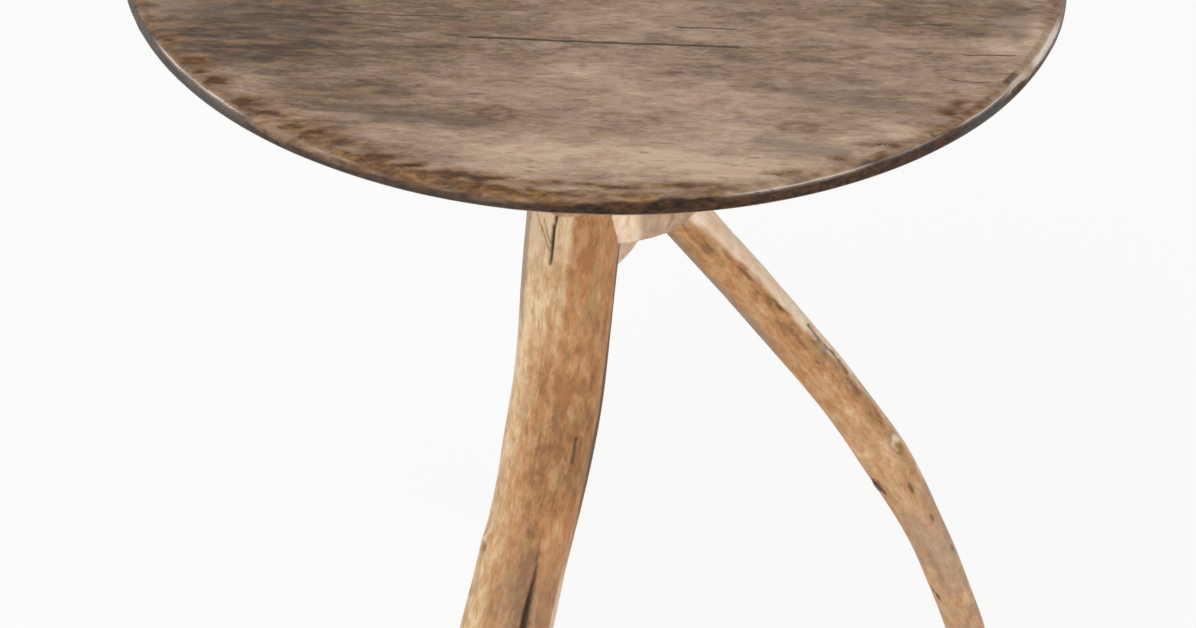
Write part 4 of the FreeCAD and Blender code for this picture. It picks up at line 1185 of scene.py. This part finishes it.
def place_camera(look):
    """Camera at the photograph's viewing angle."""
    lens = bpy.data.cameras.new("photograph_camera")
    lens.sensor_fit = "HORIZONTAL"
    lens.sensor_width = SENSOR_WIDTH
    lens.lens = look.focal_length
    lens.clip_end = 100.0
    camera = linked("photograph_camera", lens)
    turns = (CAMERA_PITCH, CAMERA_YAW, CAMERA_ROLL, CAMERA_ELEVATION)
    pitch, yaw, roll, rise = (math.radians(turn) for turn in turns)
    ahead = Vector((math.sin(yaw) * math.cos(pitch), math.cos(yaw) * math.cos(pitch), -math.sin(pitch)))
    level = ahead.cross(Vector((0, 0, 1))).normalized()
    upright = level.cross(ahead)
    right = level * math.cos(roll) + upright * math.sin(roll)
    up = upright * math.cos(roll) - level * math.sin(roll)
    back = Vector((0, -math.cos(rise), math.sin(rise))) * look.camera_distance
    facing = Matrix((right, up, -ahead)).transposed().to_4x4()
    camera.matrix_world = Matrix.Translation(Vector(TOP_MIDDLE * MM) + back) @ facing
    bpy.context.scene.camera = camera


def place_lamp(name, power, size, spot, target):
    """Large square lamp that faces a target."""
    lamp = bpy.data.lights.new(name, "AREA")
    lamp.energy = power
    lamp.size = size
    holder = linked(name, lamp)
    holder.location = spot
    holder.rotation_euler = (Vector(target) - Vector(spot)).to_track_quat("-Z", "Y").to_euler()


def even_sky(look):
    """World that lights evenly and shows white to the camera."""
    world = bpy.data.worlds.new("studio")
    bpy.context.scene.world = world
    world.use_nodes = True
    tree = world.node_tree
    tree.nodes.clear()
    strength = add(tree, "MapRange", None, {"Value": direct_share(tree), "To Min": look.sky, "To Max": 1.0})
    sky = add(tree, "Background", None, {"Color": (1, 1, 1, 1), "Strength": strength})
    add(tree, "OutputWorld", None, {"Surface": sky})


# Operators

class TABLE_OT_boards(bpy.types.Operator):
    """Builds the three boards of the round top with their worn rim, cracks, knots and stains"""

    bl_idname = "table.boards"
    bl_label = "Boards"

    def execute(self, context):
        look = context.scene.table_top
        top = round_top(look)
        finish = weathered_hickory_boards(look)
        spans = ((None, JOINT_FRONT), (JOINT_FRONT, JOINT_REAR), (JOINT_REAR, None))
        for node, (low_y, high_y) in zip(BOARD_NODES, spans):
            dress(board_piece(top, node + "_worn", low_y, high_y), node, finish)
        bpy.data.objects.remove(top)
        return {"FINISHED"}


class TABLE_OT_hub(bpy.types.Operator):
    """Builds the trunk that the legs grow from"""

    bl_idname = "table.hub"
    bl_label = "Trunk hub"

    def execute(self, context):
        look = context.scene.table_poles
        finish = peeled_hickory_pole("hickory trunk, peeled and sawn off", look, HUB_TONE_SHIFT)
        dress(hub_piece("trunk_hub_grown", look.cell / MM), "trunk_hub", finish)
        return {"FINISHED"}


class TABLE_OT_legs(bpy.types.Operator):
    """Builds the thick front leg, the crooked right leg and the rear leg with their cracks and knots"""

    bl_idname = "table.legs"
    bl_label = "Legs"

    def execute(self, context):
        look = context.scene.table_poles
        for node, (root, inside, arris, shift, carve) in LEGS.items():
            pole = Pole(node, HUB_LOW + root, inside, look.cell / MM)
            carve(pole)
            for crack in LEG_CRACKS[node]:
                pole.crack(*crack)
            for knot in LEG_KNOTS[node]:
                pole.knot(*knot)
            side = node.removeprefix("leg_")
            finish = peeled_hickory_pole(f"hickory {side} leg, peeled by hand", look, shift)
            dress(pole.piece(node + "_peeled", arris), node, finish)
        return {"FINISHED"}


class TABLE_OT_joinery(bpy.types.Operator):
    """Finishes the cleats, block, wedge, dowels and pegs under the top"""

    bl_idname = "table.joinery"
    bl_label = "Joinery"

    def execute(self, context):
        look = context.scene.table_joinery
        cleats = sawn_hickory("hickory cleats, sawn and scraped", look, (4, 60, 4))
        block = sawn_hickory("hickory block, sawn and scraped", look, (60, 4, 4))
        finishes = {"cleat_left": cleats, "cleat_right": cleats, "mounting_block": block}
        shaved = ("tenon_wedge", "dowels_front", "dowels_rear", "peg_front", "peg_right", "peg_rear")
        finishes.update(dict.fromkeys(shaved, shaved_hickory(look)))
        for node, finish in finishes.items():
            give_finish(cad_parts[node], finish)
        return {"FINISHED"}


class TABLE_OT_screws(bpy.types.Operator):
    """Finishes the screws of the cleats and the block"""

    bl_idname = "table.screws"
    bl_label = "Screws"

    def execute(self, context):
        steel = dulled_steel(context.scene.table_joinery)
        for node in ("cleat_screws_left", "cleat_screws_right", "block_screws"):
            give_finish(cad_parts[node], steel)
        return {"FINISHED"}


class TABLE_OT_stage(bpy.types.Operator):
    """Sets the floor, the soft lamps, the white surroundings and the camera"""

    bl_idname = "table.stage"
    bl_label = "Stage"

    def execute(self, context):
        look = context.scene.table_stage
        half = look.floor_size / 2
        mesh = bpy.data.meshes.new("studio_floor")
        corners = [(-half, -half, 0), (half, -half, 0), (half, half, 0), (-half, half, 0)]
        mesh.from_pydata(corners, [], [(0, 1, 2, 3)])
        floor = linked("studio_floor", mesh)
        give_finish(floor, painted_floor(look))
        for name, (size, spot, target) in LAMPS.items():
            place_lamp(name + "_lamp", getattr(look, name), size, spot, target)
        even_sky(look)
        place_camera(look)
        context.scene.view_settings.view_transform = "Standard"
        return {"FINISHED"}


LOOKS = {"table_top": TopLook, "table_poles": PoleLook, "table_joinery": JoineryLook,
         "table_stage": StageLook}
OPERATORS = (TABLE_OT_boards, TABLE_OT_hub, TABLE_OT_legs, TABLE_OT_joinery, TABLE_OT_screws,
             TABLE_OT_stage)


class TABLE_PT_panel(bpy.types.Panel):
    """Lists the table's pieces"""

    bl_idname = "TABLE_PT_panel"
    bl_label = "Rustic table"
    bl_space_type = "VIEW_3D"
    bl_region_type = "UI"
    bl_category = "Table"

    def draw(self, context):
        for operator in OPERATORS:
            self.layout.operator(operator.bl_idname)


def register():
    """Registers the settings, the operators and the panel."""
    for kind in (*LOOKS.values(), *OPERATORS, TABLE_PT_panel):
        bpy.utils.register_class(kind)
    for name, kind in LOOKS.items():
        setattr(bpy.types.Scene, name, bpy.props.PointerProperty(type=kind))


def unregister():
    """Takes the settings, the operators and the panel away again."""
    for name in LOOKS:
        delattr(bpy.types.Scene, name)
    for kind in reversed((*LOOKS.values(), *OPERATORS, TABLE_PT_panel)):
        bpy.utils.unregister_class(kind)


def main():
    """Builds the whole scene."""
    register()
    for operator in OPERATORS:
        group, name = operator.bl_idname.split(".")
        getattr(getattr(bpy.ops, group), name)()


if __name__ == "__main__":
    main()
